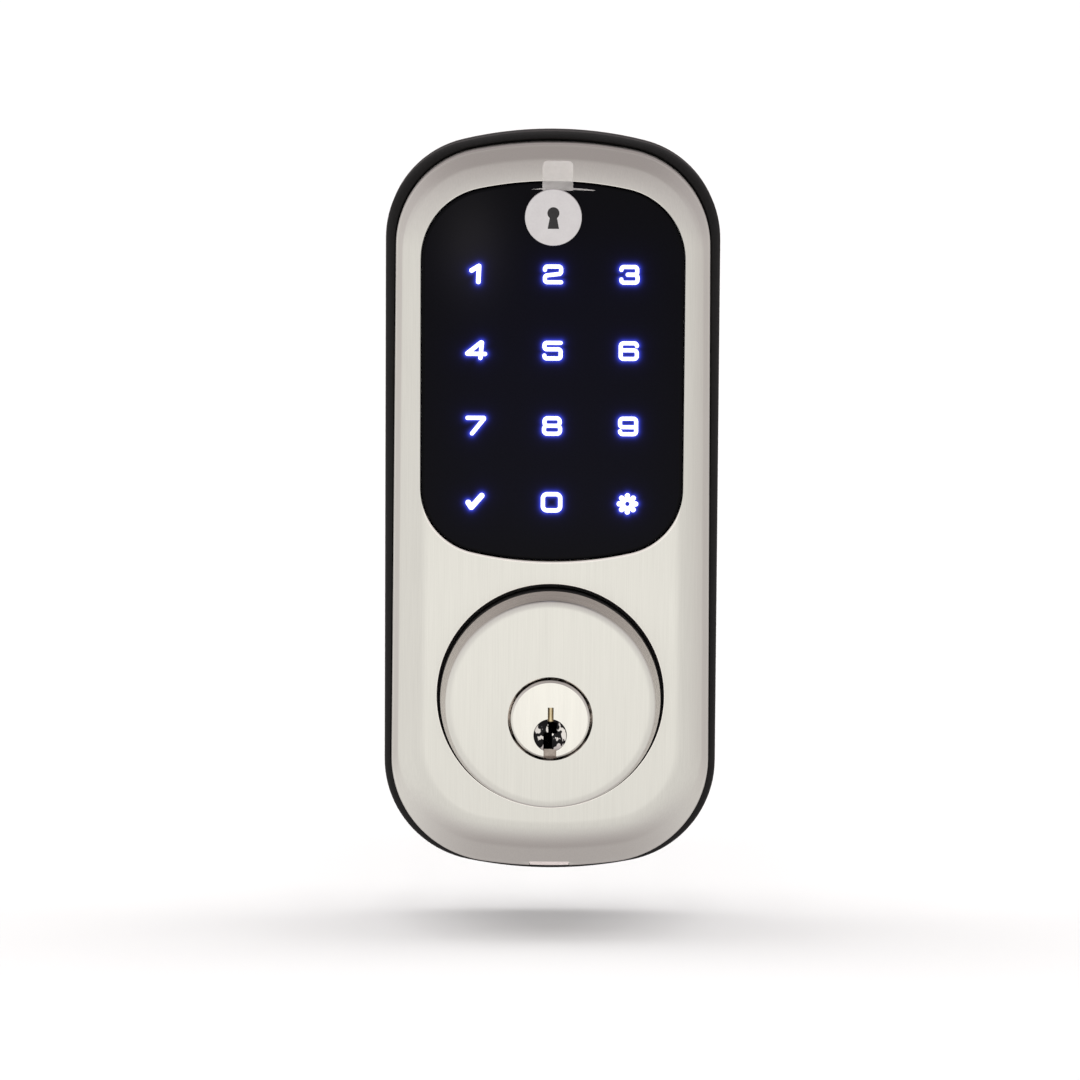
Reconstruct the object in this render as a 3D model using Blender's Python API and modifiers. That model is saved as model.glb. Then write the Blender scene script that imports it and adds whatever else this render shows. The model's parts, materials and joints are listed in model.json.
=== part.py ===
"""Exterior unit of a keypad smart lock: a metal cover with a lit touch keypad above a pin-tumbler cylinder.

+Z is up, the keypad faces -Y and the door stands at +Y. The origin lies on the key plug's axis, in the plane of
the door's face. Depths are Y values: the more negative, the nearer the front.
"""

import math
from collections import namedtuple

import bmesh
import bpy
from mathutils import Matrix, Vector

MM = 0.001
GAP = 0.3 * MM

# Outlines of the arched pieces: tips on the centre line, half widths, and the radii of corners and crowns.
Arch = namedtuple("Arch", "top bottom half_top half_bottom corner_top crown_top corner_bottom crown_bottom")
HOUSING_ARCH = Arch(102.5 * MM, -30.85 * MM, 29.7 * MM, 29.85 * MM, 17.6 * MM, 68.5 * MM, 18.8 * MM, 74.0 * MM)
COVER_ARCH = Arch(100.85 * MM, -29.1 * MM, 27.7 * MM, 28.4 * MM, 17.0 * MM, 70.0 * MM, 17.6 * MM, 73.0 * MM)
LENS_ARCH = Arch(94.35 * MM, 27.3 * MM, 23.05 * MM, 23.05 * MM, 12.6 * MM, 63.0 * MM, 11.6 * MM, 62.3 * MM)
CROWN_STEPS = 4
CORNER_STEPS = 7

# Metal cover
COVER_FACE = -20.0 * MM
COVER_WALL = 1.8 * MM
COVER_REAR = -8.8 * MM
ROLL_WIDTH = 6.4 * MM
ROLL_DEPTH = 5.6 * MM
ROLL_TOP_STRETCH = 1.1
ROLL_BOTTOM_STRETCH = 1.45
ROLL_ANGLES = (0, 24, 46, 67, 90)
UPPER_BOSS_FRONT = -17.7 * MM
LOWER_BOSS_FRONT = -18.6 * MM
BOSS_RADIUS = 2.2 * MM
BOSS_PLACES = ((-16 * MM, 94.2 * MM), (16 * MM, 94.2 * MM), (-20 * MM, -17 * MM), (20 * MM, -17 * MM))

# Black rear housing, inner steel plate and door gasket
HOUSING_RIM = -9.9 * MM
HOUSING_LEDGE = -8.5 * MM
HOUSING_FLOOR = -3.5 * MM
HOUSING_REAR = -1.5 * MM
GASKET_FRONT = -1.2 * MM
GASKET_INSET = 1.0 * MM
GASKET_WIDTH = 3.0 * MM
PLATE_FRONT = -7.6 * MM
PLATE_REAR = -6.1 * MM
PILLAR_PLACES = ((-18 * MM, 43 * MM), (18 * MM, 43 * MM))
REAR_OPENING_RADIUS = 24.0 * MM
CABLE_HALF_WIDTH = 7.0 * MM
CABLE_LOW = 20.3 * MM
CABLE_HIGH = 26.0 * MM

# Touch keypad: four rows of three symbols
LENS_FRONT = -19.9 * MM
LENS_REAR = -18.0 * MM
SEAL_REAR = -17.2 * MM
SENSOR_REAR = -17.3 * MM
KEY_COLUMNS = (-13.4 * MM, 0.0, 13.4 * MM)
KEY_ROWS = (78.25 * MM, 64.7 * MM, 51.2 * MM, 37.7 * MM)
GUIDE_FRONT = -16.9 * MM
GUIDE_REAR = -14.7 * MM
BOARD_FRONT = -14.3 * MM
BOARD_REAR = -12.7 * MM
BOARD_SCREW_PLACES = ((-18 * MM, 84.5 * MM), (18 * MM, 84.5 * MM), (-18 * MM, 36 * MM), (18 * MM, 36 * MM))
BADGE_Z = 88.2 * MM
BADGE_RADIUS = 5.0 * MM

# Cylinder: the round face and its body share one centre, above the plug's axis
CYLINDER_Z = 3.05 * MM
FACE_FRONT = -26.8 * MM
FACE_FLAT_RADIUS = 17.4 * MM
FACE_ROUND = 1.15 * MM
FACE_RADIUS = 19.65 * MM
FACE_HOLE_RADIUS = 20.2 * MM
BODY_RADIUS = 15.0 * MM
BODY_FRONT = -23.5 * MM
BODY_REAR = 2.0 * MM
EAR_REACH = 17.5 * MM
EAR_DIRECTIONS = (45, 225)
BORE_RADIUS = 6.35 * MM
PLUG_FRONT = -27.1 * MM
PLUG_REAR = 6.4 * MM
PLUG_RADIUS = 6.2 * MM
FLANGE_RADIUS = 7.1 * MM
FLANGE_REAR = -23.9 * MM
KEYWAY_REAR = 0.5 * MM

# Pin stacks, front to rear
PIN_COUNT = 5
FIRST_PIN = -19.4 * MM
PIN_PITCH = 4.0 * MM
PIN_RADIUS = 1.25 * MM
CHAMBER_RADIUS = 1.5 * MM
CHAMBER_FLOOR = -1.4 * MM
CHAMBER_TOP = 16.6 * MM
KEY_PIN_TOP = 6.05 * MM
KEY_PIN_LENGTHS = (6.2 * MM, 4.6 * MM, 5.4 * MM, 4.2 * MM, 5.0 * MM)
DRIVER_LOW = 6.5 * MM
DRIVER_LENGTH = 4.0 * MM
SPRING_TOP = 16.3 * MM
DRILL_PIN_DEPTH = -22.3 * MM
DRILL_PIN_Z = 9.0 * MM

# Tailpiece and the posts that the through-door screws enter
BLADE_HALF_THICKNESS = 1.2 * MM
BLADE_HALF_WIDTH = 3.25 * MM
BLADE_END = 68.0 * MM
HEAD_HALF_WIDTH = 4.7 * MM
POCKET_RADIUS = 5.25 * MM
POCKET_FRONT = 3.7 * MM
POST_X = 20.0 * MM
POST_RADIUS = 3.4 * MM
POST_END = 18.0 * MM

# Emergency power contacts at the lower edge
TERMINAL_X = 6.35 * MM
TERMINAL_DEPTH = -12.2 * MM
TERMINAL_END = -28.5 * MM

TURN_Y = Matrix.Rotation(math.pi / 2, 4, "X")

for old in list(bpy.data.objects):
    bpy.data.objects.remove(old)

parts = bpy.data.collections.new("keypad_smart_lock")
cutters = bpy.data.collections.new("cutters")
bpy.context.scene.collection.children.link(parts)
bpy.context.scene.collection.children.link(cutters)


def material(name, colour, roughness, metallic=0.0):
    made = bpy.data.materials.new(name)
    made.use_nodes = True
    shader = made.node_tree.nodes["Principled BSDF"]
    shader.inputs["Base Color"].default_value = (*colour, 1.0)
    shader.inputs["Roughness"].default_value = roughness
    shader.inputs["Metallic"].default_value = metallic
    return made


NICKEL = material("satin_nickel", (0.70, 0.68, 0.64), 0.32, 1.0)
BLACK_PLASTIC = material("black_plastic", (0.018, 0.018, 0.02), 0.45)
RUBBER = material("gasket_rubber", (0.03, 0.03, 0.03), 0.8)
LENS_BLACK = material("lens_black", (0.008, 0.008, 0.014), 0.06)
SENSOR_FILM = material("sensor_film", (0.35, 0.30, 0.12), 0.3)
WHITE_GUIDE = material("lit_symbol", (0.9, 0.93, 1.0), 0.4)
BOARD_GREEN = material("circuit_board", (0.03, 0.16, 0.07), 0.4)
CHIP_BLACK = material("chip_black", (0.03, 0.03, 0.03), 0.5)
SOCKET_WHITE = material("socket_nylon", (0.78, 0.76, 0.70), 0.5)
STEEL = material("zinc_steel", (0.55, 0.56, 0.58), 0.35, 1.0)
HARD_STEEL = material("hard_steel", (0.30, 0.30, 0.32), 0.3, 1.0)
SPRING_STEEL = material("spring_steel", (0.62, 0.62, 0.62), 0.25, 1.0)
BRASS = material("brass", (0.72, 0.55, 0.24), 0.3, 1.0)
PLUG_NICKEL = material("plug_nickel", (0.76, 0.74, 0.70), 0.25, 1.0)
BADGE = material("badge_aluminium", (0.72, 0.69, 0.66), 0.4, 1.0)
FILM = material("clear_film", (0.80, 0.80, 0.78), 0.3)
CONTACT = material("contact_plating", (0.80, 0.78, 0.74), 0.25, 1.0)


# ---------------------------------------------------------------- shapes


def add(name, mesh, place=None, collection=cutters):
    """Puts a mesh in the scene. Cutters stay out of the finished object."""
    obj = bpy.data.objects.new(name, mesh)
    collection.objects.link(obj)
    if place is not None:
        obj.matrix_world = place
    if collection is cutters:
        obj.hide_render = True
        obj.display_type = "WIRE"
    return obj


def as_part(obj, mat):
    """Moves a shape into the finished object, with its material and smooth shading."""
    cutters.objects.unlink(obj)
    parts.objects.link(obj)
    obj.hide_render = False
    obj.display_type = "TEXTURED"
    obj.data.materials.clear()
    obj.data.materials.append(mat)
    obj.data.shade_smooth()
    obj.data.set_sharp_from_angle(angle=math.radians(35))
    return obj


def from_bmesh(name, shape, place=None):
    mesh = bpy.data.meshes.new(name)
    shape.to_mesh(mesh)
    shape.free()
    return add(name, mesh, place)


def box(name, low, high):
    shape = bmesh.new()
    size = [b - a for a, b in zip(low, high)]
    middle = [(a + b) / 2 for a, b in zip(low, high)]
    bmesh.ops.create_cube(shape, size=1, matrix=Matrix.Translation(middle) @ Matrix.Diagonal((*size, 1)))
    return from_bmesh(name, shape)


def rod(name, start, end, radius, end_radius=None, segments=24):
    """A round bar or a cone between two points, with closed ends."""
    start, end = Vector(start), Vector(end)
    line = end - start
    shape = bmesh.new()
    turn = Vector((0, 0, 1)).rotation_difference(line).to_matrix().to_4x4()
    bmesh.ops.create_cone(
        shape,
        cap_ends=True,
        segments=segments,
        radius1=radius,
        radius2=radius if end_radius is None else end_radius,
        depth=line.length,
        matrix=Matrix.Translation((start + end) / 2) @ turn,
    )
    return from_bmesh(name, shape)


def deep_rod(name, x, z, front, rear, radius, segments=20):
    return rod(name, (x, front, z), (x, rear, z), radius, segments=segments)


def turned(name, profile, steps, place):
    """A turned piece. The profile runs down its outer side and, if it starts off the axis, back up the bore."""
    edges = [(i, i + 1) for i in range(len(profile) - 1)]
    if profile[0][0] > 0:
        edges.append((len(profile) - 1, 0))
    mesh = bpy.data.meshes.new(name)
    mesh.from_pydata([(radius, 0, height) for radius, height in profile], edges, [])
    obj = add(name, mesh, place)
    screw = obj.modifiers.new("turn", "SCREW")
    screw.steps = steps
    screw.render_steps = steps
    screw.use_merge_vertices = True
    screw.merge_threshold = 0.001 * MM
    return obj


def turned_deep(name, profile, steps, x=0.0, z=0.0):
    """A piece turned about a line along Y. The profile's heights are depths, front first."""
    flipped = [(radius, -depth) for radius, depth in profile]
    return turned(name, flipped, steps, Matrix.Translation((x, 0, z)) @ TURN_Y)


def meshed(guide):
    """The curve as a mesh with welded caps, in the curve's place."""
    bpy.context.scene.collection.objects.link(guide)
    bpy.context.view_layer.update()
    evaluated = guide.evaluated_get(bpy.context.evaluated_depsgraph_get())
    mesh = bpy.data.meshes.new_from_object(evaluated)
    shape = bmesh.new()
    shape.from_mesh(mesh)
    bmesh.ops.remove_doubles(shape, verts=shape.verts, dist=0.001 * MM)
    shape.to_mesh(mesh)
    shape.free()
    name, place = guide.name, guide.matrix_world.copy()
    bpy.data.objects.remove(guide)
    return add(name, mesh, place)


def plate(name, loops, front, rear):
    """A flat plate between two depths. The first loop is its outline and any others are holes in it."""
    curve = bpy.data.curves.new(name, "CURVE")
    curve.dimensions = "2D"
    curve.fill_mode = "BOTH"
    curve.extrude = (rear - front) / 2
    for loop in loops:
        spline = curve.splines.new("POLY")
        spline.points.add(len(loop) - 1)
        for point, (x, z) in zip(spline.points, loop):
            point.co = (x, z, 0, 1)
        spline.use_cyclic_u = True
    guide = bpy.data.objects.new(name, curve)
    guide.matrix_world = Matrix.Translation((0, (front + rear) / 2, 0)) @ TURN_Y
    return meshed(guide)


def loft(name, rings, closed):
    """Skins a row of rings with equal counts. The last ring is capped, and a closed piece's first ring too."""
    shape = bmesh.new()
    rows = [[shape.verts.new(point) for point in ring] for ring in rings]
    for first, second in zip(rows, rows[1:]):
        for i in range(len(first)):
            following = (i + 1) % len(first)
            shape.faces.new((first[i], first[following], second[following], second[i]))
    shape.faces.new(rows[-1])
    if closed:
        shape.faces.new(rows[0])
    bmesh.ops.recalc_face_normals(shape, faces=shape.faces)
    return from_bmesh(name, shape)


def combine(obj, others, operation):
    for other in others:
        step = obj.modifiers.new(f"{operation.lower()}_{other.name}", "BOOLEAN")
        step.operation = operation
        step.object = other
    return obj


def cut(obj, *others):
    return combine(obj, others, "DIFFERENCE")


def join(obj, *others):
    return combine(obj, others, "UNION")


def soften(obj, width, segments=2):
    """Rounds the sharp edges."""
    bevel = obj.modifiers.new("soften", "BEVEL")
    bevel.width = width
    bevel.segments = segments
    bevel.limit_method = "ANGLE"
    bevel.angle_limit = math.radians(50)
    return obj


def arched_end(half, tip, corner, crown, inset, inset_z, upward):
    """Half of an arched end, from its tip on the centre line to where its straight side starts."""
    half -= inset
    corner -= inset
    crown -= inset_z
    tip -= upward * inset_z
    crown_z = tip - upward * crown
    corner_x = half - corner
    swing = math.asin(corner_x / (crown - corner))
    corner_z = crown_z + upward * (crown - corner) * math.cos(swing)
    points = []
    for step in range(CROWN_STEPS):
        angle = swing * step / CROWN_STEPS
        points.append((crown * math.sin(angle), crown_z + upward * crown * math.cos(angle)))
    for step in range(CORNER_STEPS + 1):
        angle = swing + (math.pi / 2 - swing) * step / CORNER_STEPS
        points.append((corner_x + corner * math.sin(angle), corner_z + upward * corner * math.cos(angle)))
    return points


def arch(size, inset=0.0, stretch_top=1.0, stretch_bottom=1.0):
    """The (x, z) outline of an arched piece, moved inwards by the inset. A stretch moves an end further."""
    above = arched_end(size.half_top, size.top, size.corner_top, size.crown_top, inset, inset * stretch_top, 1)
    below = arched_end(
        size.half_bottom, size.bottom, size.corner_bottom, size.crown_bottom, inset, inset * stretch_bottom, -1
    )
    right = above + below[::-1]
    left = [(-x, z) for x, z in right[-2:0:-1]]
    return right + left


def at_depth(outline, depth):
    return [(x, depth, z) for x, z in outline]


def screw(name, x, z, head_rear, head_radius, head_length, shank_radius, shank_end):
    """A screw driven forwards from behind, with a cross-slot-free round head."""
    profile = [
        (0, shank_end),
        (shank_radius * 0.6, shank_end),
        (shank_radius, shank_end + 0.5 * MM),
        (shank_radius, head_rear - head_length),
        (head_radius, head_rear - head_length),
        (head_radius, head_rear - 0.4 * MM),
        (head_radius - 0.4 * MM, head_rear),
        (0, head_rear),
    ]
    made = turned_deep(name, profile, 10, x, z)
    slot_half = 0.35 * MM
    slot = box(
        name + "_slot",
        (x - head_radius - MM, head_rear - 0.6 * MM, z - slot_half),
        (x + head_radius + MM, head_rear + MM, z + slot_half),
    )
    return as_part(cut(made, slot), STEEL)


# ---------------------------------------------------------------- metal cover


def front_cover():
    """A rolled-edge shell with the keypad window, the cylinder's hole, screw bosses and contact holes."""
    rings = [at_depth(arch(COVER_ARCH), COVER_REAR)]
    for degrees in ROLL_ANGLES:
        angle = math.radians(degrees)
        inset = ROLL_WIDTH * (1 - math.cos(angle))
        depth = COVER_FACE + ROLL_DEPTH * (1 - math.sin(angle))
        rings.append(at_depth(arch(COVER_ARCH, inset, ROLL_TOP_STRETCH, ROLL_BOTTOM_STRETCH), depth))
    cover = loft("front_cover", rings, closed=False)
    wall = cover.modifiers.new("wall", "SOLIDIFY")
    wall.thickness = COVER_WALL
    wall.offset = -1
    wall.use_even_offset = True

    window = plate("keypad_window", [arch(LENS_ARCH, -0.25 * MM)], COVER_FACE - MM, COVER_FACE + 3 * MM)
    hole = deep_rod("cylinder_hole", 0, CYLINDER_Z, COVER_FACE - MM, COVER_FACE + 3 * MM, FACE_HOLE_RADIUS, 64)
    notch = box("lower_notch", (-3.6 * MM, -17.1 * MM, -31 * MM), (3.6 * MM, -13.3 * MM, -28.1 * MM))
    cut(cover, window, hole, notch)
    for side in (-1, 1):
        start = (side * TERMINAL_X, TERMINAL_DEPTH, -31 * MM)
        end = (side * TERMINAL_X, TERMINAL_DEPTH, -26 * MM)
        cut(cover, rod(f"terminal_hole_{side}", start, end, 1.9 * MM))
    for index, (x, z) in enumerate(BOSS_PLACES):
        front = UPPER_BOSS_FRONT if z > 0 else LOWER_BOSS_FRONT
        join(cover, deep_rod(f"boss_{index}", x, z, front, PLATE_FRONT - GAP, BOSS_RADIUS, 14))
    for index, (x, z) in enumerate(BOSS_PLACES):
        cut(cover, deep_rod(f"boss_bore_{index}", x, z, -14.0 * MM, PLATE_FRONT + MM, 1.2 * MM, 10))
    as_part(cover, NICKEL)


# ---------------------------------------------------------------- rear housing, plate and gasket


def rear_housing():
    """A black tray whose rim stands round the cover's rear edge."""
    edge = 0.7 * MM
    rings = [
        at_depth(arch(HOUSING_ARCH, 0.5 * MM), HOUSING_REAR),
        at_depth(arch(HOUSING_ARCH), HOUSING_REAR - 0.5 * MM),
        at_depth(arch(HOUSING_ARCH), HOUSING_RIM + edge),
        at_depth(arch(HOUSING_ARCH, 0.3 * edge), HOUSING_RIM + 0.3 * edge),
        at_depth(arch(HOUSING_ARCH, edge), HOUSING_RIM),
    ]
    housing = loft("rear_housing", rings, closed=True)
    rebate = plate("cover_rebate", [arch(COVER_ARCH, -GAP)], HOUSING_RIM - MM, HOUSING_LEDGE)
    cavity = plate("housing_cavity", [arch(COVER_ARCH, COVER_WALL)], HOUSING_RIM, HOUSING_FLOOR)
    opening = deep_rod("rear_opening", 0, 0, HOUSING_FLOOR - MM, MM, REAR_OPENING_RADIUS, 48)
    cable_way = box("cable_way", (-9 * MM, HOUSING_FLOOR - MM, 10 * MM), (9 * MM, MM, CABLE_HIGH + 1.1 * MM))
    cut(housing, rebate, cavity, opening, cable_way)
    for index, (x, z) in enumerate(PILLAR_PLACES):
        pillar_rear = HOUSING_REAR - 0.5 * MM
        join(housing, deep_rod(f"pillar_{index}", x, z, PLATE_REAR + GAP, pillar_rear, 3.4 * MM, 20))
        cut(
            housing,
            deep_rod(f"pillar_bore_{index}", x, z, PLATE_REAR - MM, MM, 1.5 * MM, 16),
            deep_rod(f"pillar_sink_{index}", x, z, -3.2 * MM, MM, 2.7 * MM, 20),
        )
    as_part(housing, BLACK_PLASTIC)


def door_gasket():
    outer = arch(HOUSING_ARCH, GASKET_INSET)
    inner = arch(HOUSING_ARCH, GASKET_INSET + GASKET_WIDTH)
    as_part(plate("door_gasket", [outer, inner], GASKET_FRONT, 0.0), RUBBER)


def ear_places():
    """Where the two cylinder screws stand, as (x, z)."""
    places = []
    for degrees in EAR_DIRECTIONS:
        angle = math.radians(degrees)
        places.append((EAR_REACH * math.cos(angle), CYLINDER_Z + EAR_REACH * math.sin(angle)))
    return places


def inner_plate():
    """The steel plate that ties cover, cylinder, posts and housing together."""
    steel = plate("inner_plate", [arch(COVER_ARCH, COVER_WALL + 0.4 * MM)], PLATE_FRONT, PLATE_REAR)
    front = PLATE_FRONT - MM
    rear = PLATE_REAR + MM
    holes = [deep_rod("plate_cylinder_hole", 0, CYLINDER_Z, front, rear, BODY_RADIUS + 0.5 * MM, 48)]
    window_low = (-CABLE_HALF_WIDTH, front, CABLE_LOW)
    window_high = (CABLE_HALF_WIDTH, rear, CABLE_HIGH)
    holes.append(box("plate_cable_window", window_low, window_high))
    for side in (-1, 1):
        holes.append(deep_rod(f"plate_post_hole_{side}", side * POST_X, 0, front, rear, POST_RADIUS + GAP))
    for index, (x, z) in enumerate((*BOSS_PLACES, *PILLAR_PLACES, *ear_places())):
        holes.append(deep_rod(f"plate_screw_hole_{index}", x, z, front, rear, 1.5 * MM, 16))
    as_part(cut(steel, *holes), STEEL)


def plate_screws():
    for index, (x, z) in enumerate(BOSS_PLACES, 1):
        screw(f"plate_screw_{index}", x, z, -4.2 * MM, 2.1 * MM, 1.6 * MM, 0.9 * MM, -13.0 * MM)
    for index, (x, z) in enumerate(PILLAR_PLACES, 1):
        screw(f"housing_screw_{index}", x, z, -1.8 * MM, 2.4 * MM, 1.1 * MM, 1.2 * MM, -9.2 * MM)
    for index, (x, z) in enumerate(ear_places(), 1):
        screw(f"cylinder_screw_{index}", x, z, -4.4 * MM, 2.4 * MM, 1.4 * MM, 1.2 * MM, -9.8 * MM)


# ---------------------------------------------------------------- keypad


def keypad():
    lens = plate("touch_lens", [arch(LENS_ARCH)], LENS_FRONT, LENS_REAR)
    as_part(soften(lens, 0.35 * MM), LENS_BLACK)

    seal_loops = [arch(LENS_ARCH, 1.0 * MM), arch(LENS_ARCH, 2.3 * MM)]
    as_part(plate("lens_seal", seal_loops, LENS_REAR + GAP, SEAL_REAR), RUBBER)
    as_part(plate("touch_sensor", [arch(LENS_ARCH, 2.6 * MM)], LENS_REAR + GAP, SENSOR_REAR), SENSOR_FILM)

    guide = plate("light_guide", [arch(LENS_ARCH, 1.2 * MM)], GUIDE_FRONT, GUIDE_REAR)
    board = plate("keypad_board", [arch(LENS_ARCH, 1.6 * MM)], BOARD_FRONT, BOARD_REAR)
    for row, z in enumerate(KEY_ROWS):
        for column, x in enumerate(KEY_COLUMNS):
            well_low = (x - 3 * MM, GUIDE_FRONT + 0.7 * MM, z - 3 * MM)
            well_high = (x + 3 * MM, GUIDE_REAR + MM, z + 3 * MM)
            cut(guide, box(f"well_{row}_{column}", well_low, well_high))
            led_low = (x - 1.2 * MM, BOARD_FRONT - 1.1 * MM, z - 1.2 * MM)
            led_high = (x + 1.2 * MM, BOARD_FRONT + 0.4 * MM, z + 1.2 * MM)
            join(board, box(f"led_{row}_{column}", led_low, led_high))
    for index, (x, z) in enumerate(BOARD_SCREW_PLACES, 1):
        cut(guide, deep_rod(f"guide_bore_{index}", x, z, -16.2 * MM, GUIDE_REAR + MM, 0.95 * MM, 12))
        cut(board, deep_rod(f"board_bore_{index}", x, z, BOARD_FRONT - MM, BOARD_REAR + MM, 1.1 * MM, 12))
        screw(f"board_screw_{index}", x, z, -11.2 * MM, 1.8 * MM, 1.2 * MM, 0.7 * MM, -15.9 * MM)
    as_part(guide, WHITE_GUIDE)
    as_part(board, BOARD_GREEN)

    front = BOARD_REAR + GAP
    chip = box("processor_chip", (-14 * MM, front, 53 * MM), (-5 * MM, front + 1.2 * MM, 62 * MM))
    as_part(soften(chip, 0.2 * MM, 1), CHIP_BLACK)
    radio = box("radio_module", (3 * MM, front, 60 * MM), (15 * MM, front + 1.8 * MM, 76 * MM))
    as_part(soften(radio, 0.3 * MM, 1), STEEL)
    socket = box("cable_socket", (-6 * MM, front, 29.6 * MM), (6 * MM, front + 4.0 * MM, 35.1 * MM))
    mouth = box("socket_mouth", (-5.2 * MM, front + 0.8 * MM, 28 * MM), (5.2 * MM, front + 3.2 * MM, 33.6 * MM))
    as_part(cut(socket, mouth), SOCKET_WHITE)
    sounder = [
        (0, front),
        (6.5 * MM, front),
        (6.5 * MM, front + 3.6 * MM),
        (6.1 * MM, front + 4.0 * MM),
        (1.1 * MM, front + 4.0 * MM),
        (0.9 * MM, front + 3.0 * MM),
        (0, front + 3.0 * MM),
    ]
    as_part(turned_deep("speaker", sounder, 24, 9 * MM, 46 * MM), CHIP_BLACK)


def badge_and_film():
    """A blank round badge on the lens, and the pull tab of its protective film."""
    front = LENS_FRONT - GAP
    disc = [
        (0, front - 0.45 * MM),
        (BADGE_RADIUS - 0.2 * MM, front - 0.45 * MM),
        (BADGE_RADIUS, front - 0.25 * MM),
        (BADGE_RADIUS, front),
        (0, front),
    ]
    as_part(turned_deep("badge_disc", disc, 48, 0, BADGE_Z), BADGE)
    tab = box("film_tab", (-1.95 * MM, -20.52 * MM, 93.3 * MM), (3.4 * MM, -20.32 * MM, 98.1 * MM))
    corners = tab.modifiers.new("corners", "BEVEL")
    corners.width = 0.9 * MM
    corners.segments = 3
    corners.limit_method = "WEIGHT"
    weights = tab.data.attributes.new("bevel_weight_edge", "FLOAT", "EDGE")
    for edge in tab.data.edges:
        ends = [tab.data.vertices[index].co for index in edge.vertices]
        weights.data[edge.index].value = 1.0 if abs(ends[0].y - ends[1].y) > 0.05 * MM else 0.0
    as_part(tab, FILM)


def emergency_terminals():
    block = box("terminal_block", (-9.5 * MM, -15.2 * MM, -26.2 * MM), (9.5 * MM, -9.4 * MM, -22.4 * MM))
    for side, name in ((-1, "terminal_left"), (1, "terminal_right")):
        x = side * TERMINAL_X
        top = (x, TERMINAL_DEPTH, TERMINAL_END + 5.1 * MM)
        cut(block, rod(name + "_seat", (x, TERMINAL_DEPTH, -28 * MM), top, 1.55 * MM))
        stud = [
            (0, TERMINAL_END + 4.8 * MM),
            (1.2 * MM, TERMINAL_END + 4.8 * MM),
            (1.2 * MM, TERMINAL_END + 2.0 * MM),
            (1.5 * MM, TERMINAL_END + 2.0 * MM),
            (1.5 * MM, TERMINAL_END + 0.3 * MM),
            (1.2 * MM, TERMINAL_END),
            (0, TERMINAL_END),
        ]
        as_part(turned(name, stud, 14, Matrix.Translation((x, TERMINAL_DEPTH, 0))), CONTACT)
    as_part(block, BLACK_PLASTIC)


# ---------------------------------------------------------------- cylinder


def pin_depths():
    return [FIRST_PIN + PIN_PITCH * index for index in range(PIN_COUNT)]


def cylinder_face():
    """The raised round face: a tapered cup over the cylinder body, with the plug's hole below its centre."""
    skirt_rear = -13.0 * MM
    bowl = BODY_FRONT - GAP
    cup_radius = BODY_RADIUS + 0.6 * MM
    profile = [(0, FACE_FRONT)]
    for degrees in (0, 26, 52, 78):
        angle = math.radians(degrees)
        radius = FACE_FLAT_RADIUS + FACE_ROUND * math.sin(angle)
        profile.append((radius, FACE_FRONT + FACE_ROUND * (1 - math.cos(angle))))
    profile += [(FACE_RADIUS, COVER_FACE), (FACE_RADIUS, skirt_rear)]
    profile += [(cup_radius, skirt_rear), (cup_radius, bowl), (0, bowl)]
    cup = turned_deep("cylinder_face", profile, 64, 0, CYLINDER_Z)
    hole = deep_rod("plug_flange_hole", 0, 0, FACE_FRONT - MM, bowl + MM, FLANGE_RADIUS + GAP, 48)
    as_part(cut(cup, hole), NICKEL)

    seal = [
        (22.4 * MM, -17.9 * MM),
        (22.4 * MM, -16.5 * MM),
        (FACE_RADIUS + GAP, -16.5 * MM),
        (FACE_RADIUS + GAP, -17.9 * MM),
    ]
    as_part(turned_deep("collar_seal", seal, 36, 0, CYLINDER_Z), RUBBER)


def drill_pin(name, reach, radius):
    """A bar across the body, just above the plug's nose."""
    left = (-reach, DRILL_PIN_DEPTH, DRILL_PIN_Z)
    right = (reach, DRILL_PIN_DEPTH, DRILL_PIN_Z)
    return rod(name, left, right, radius, segments=12)


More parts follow.
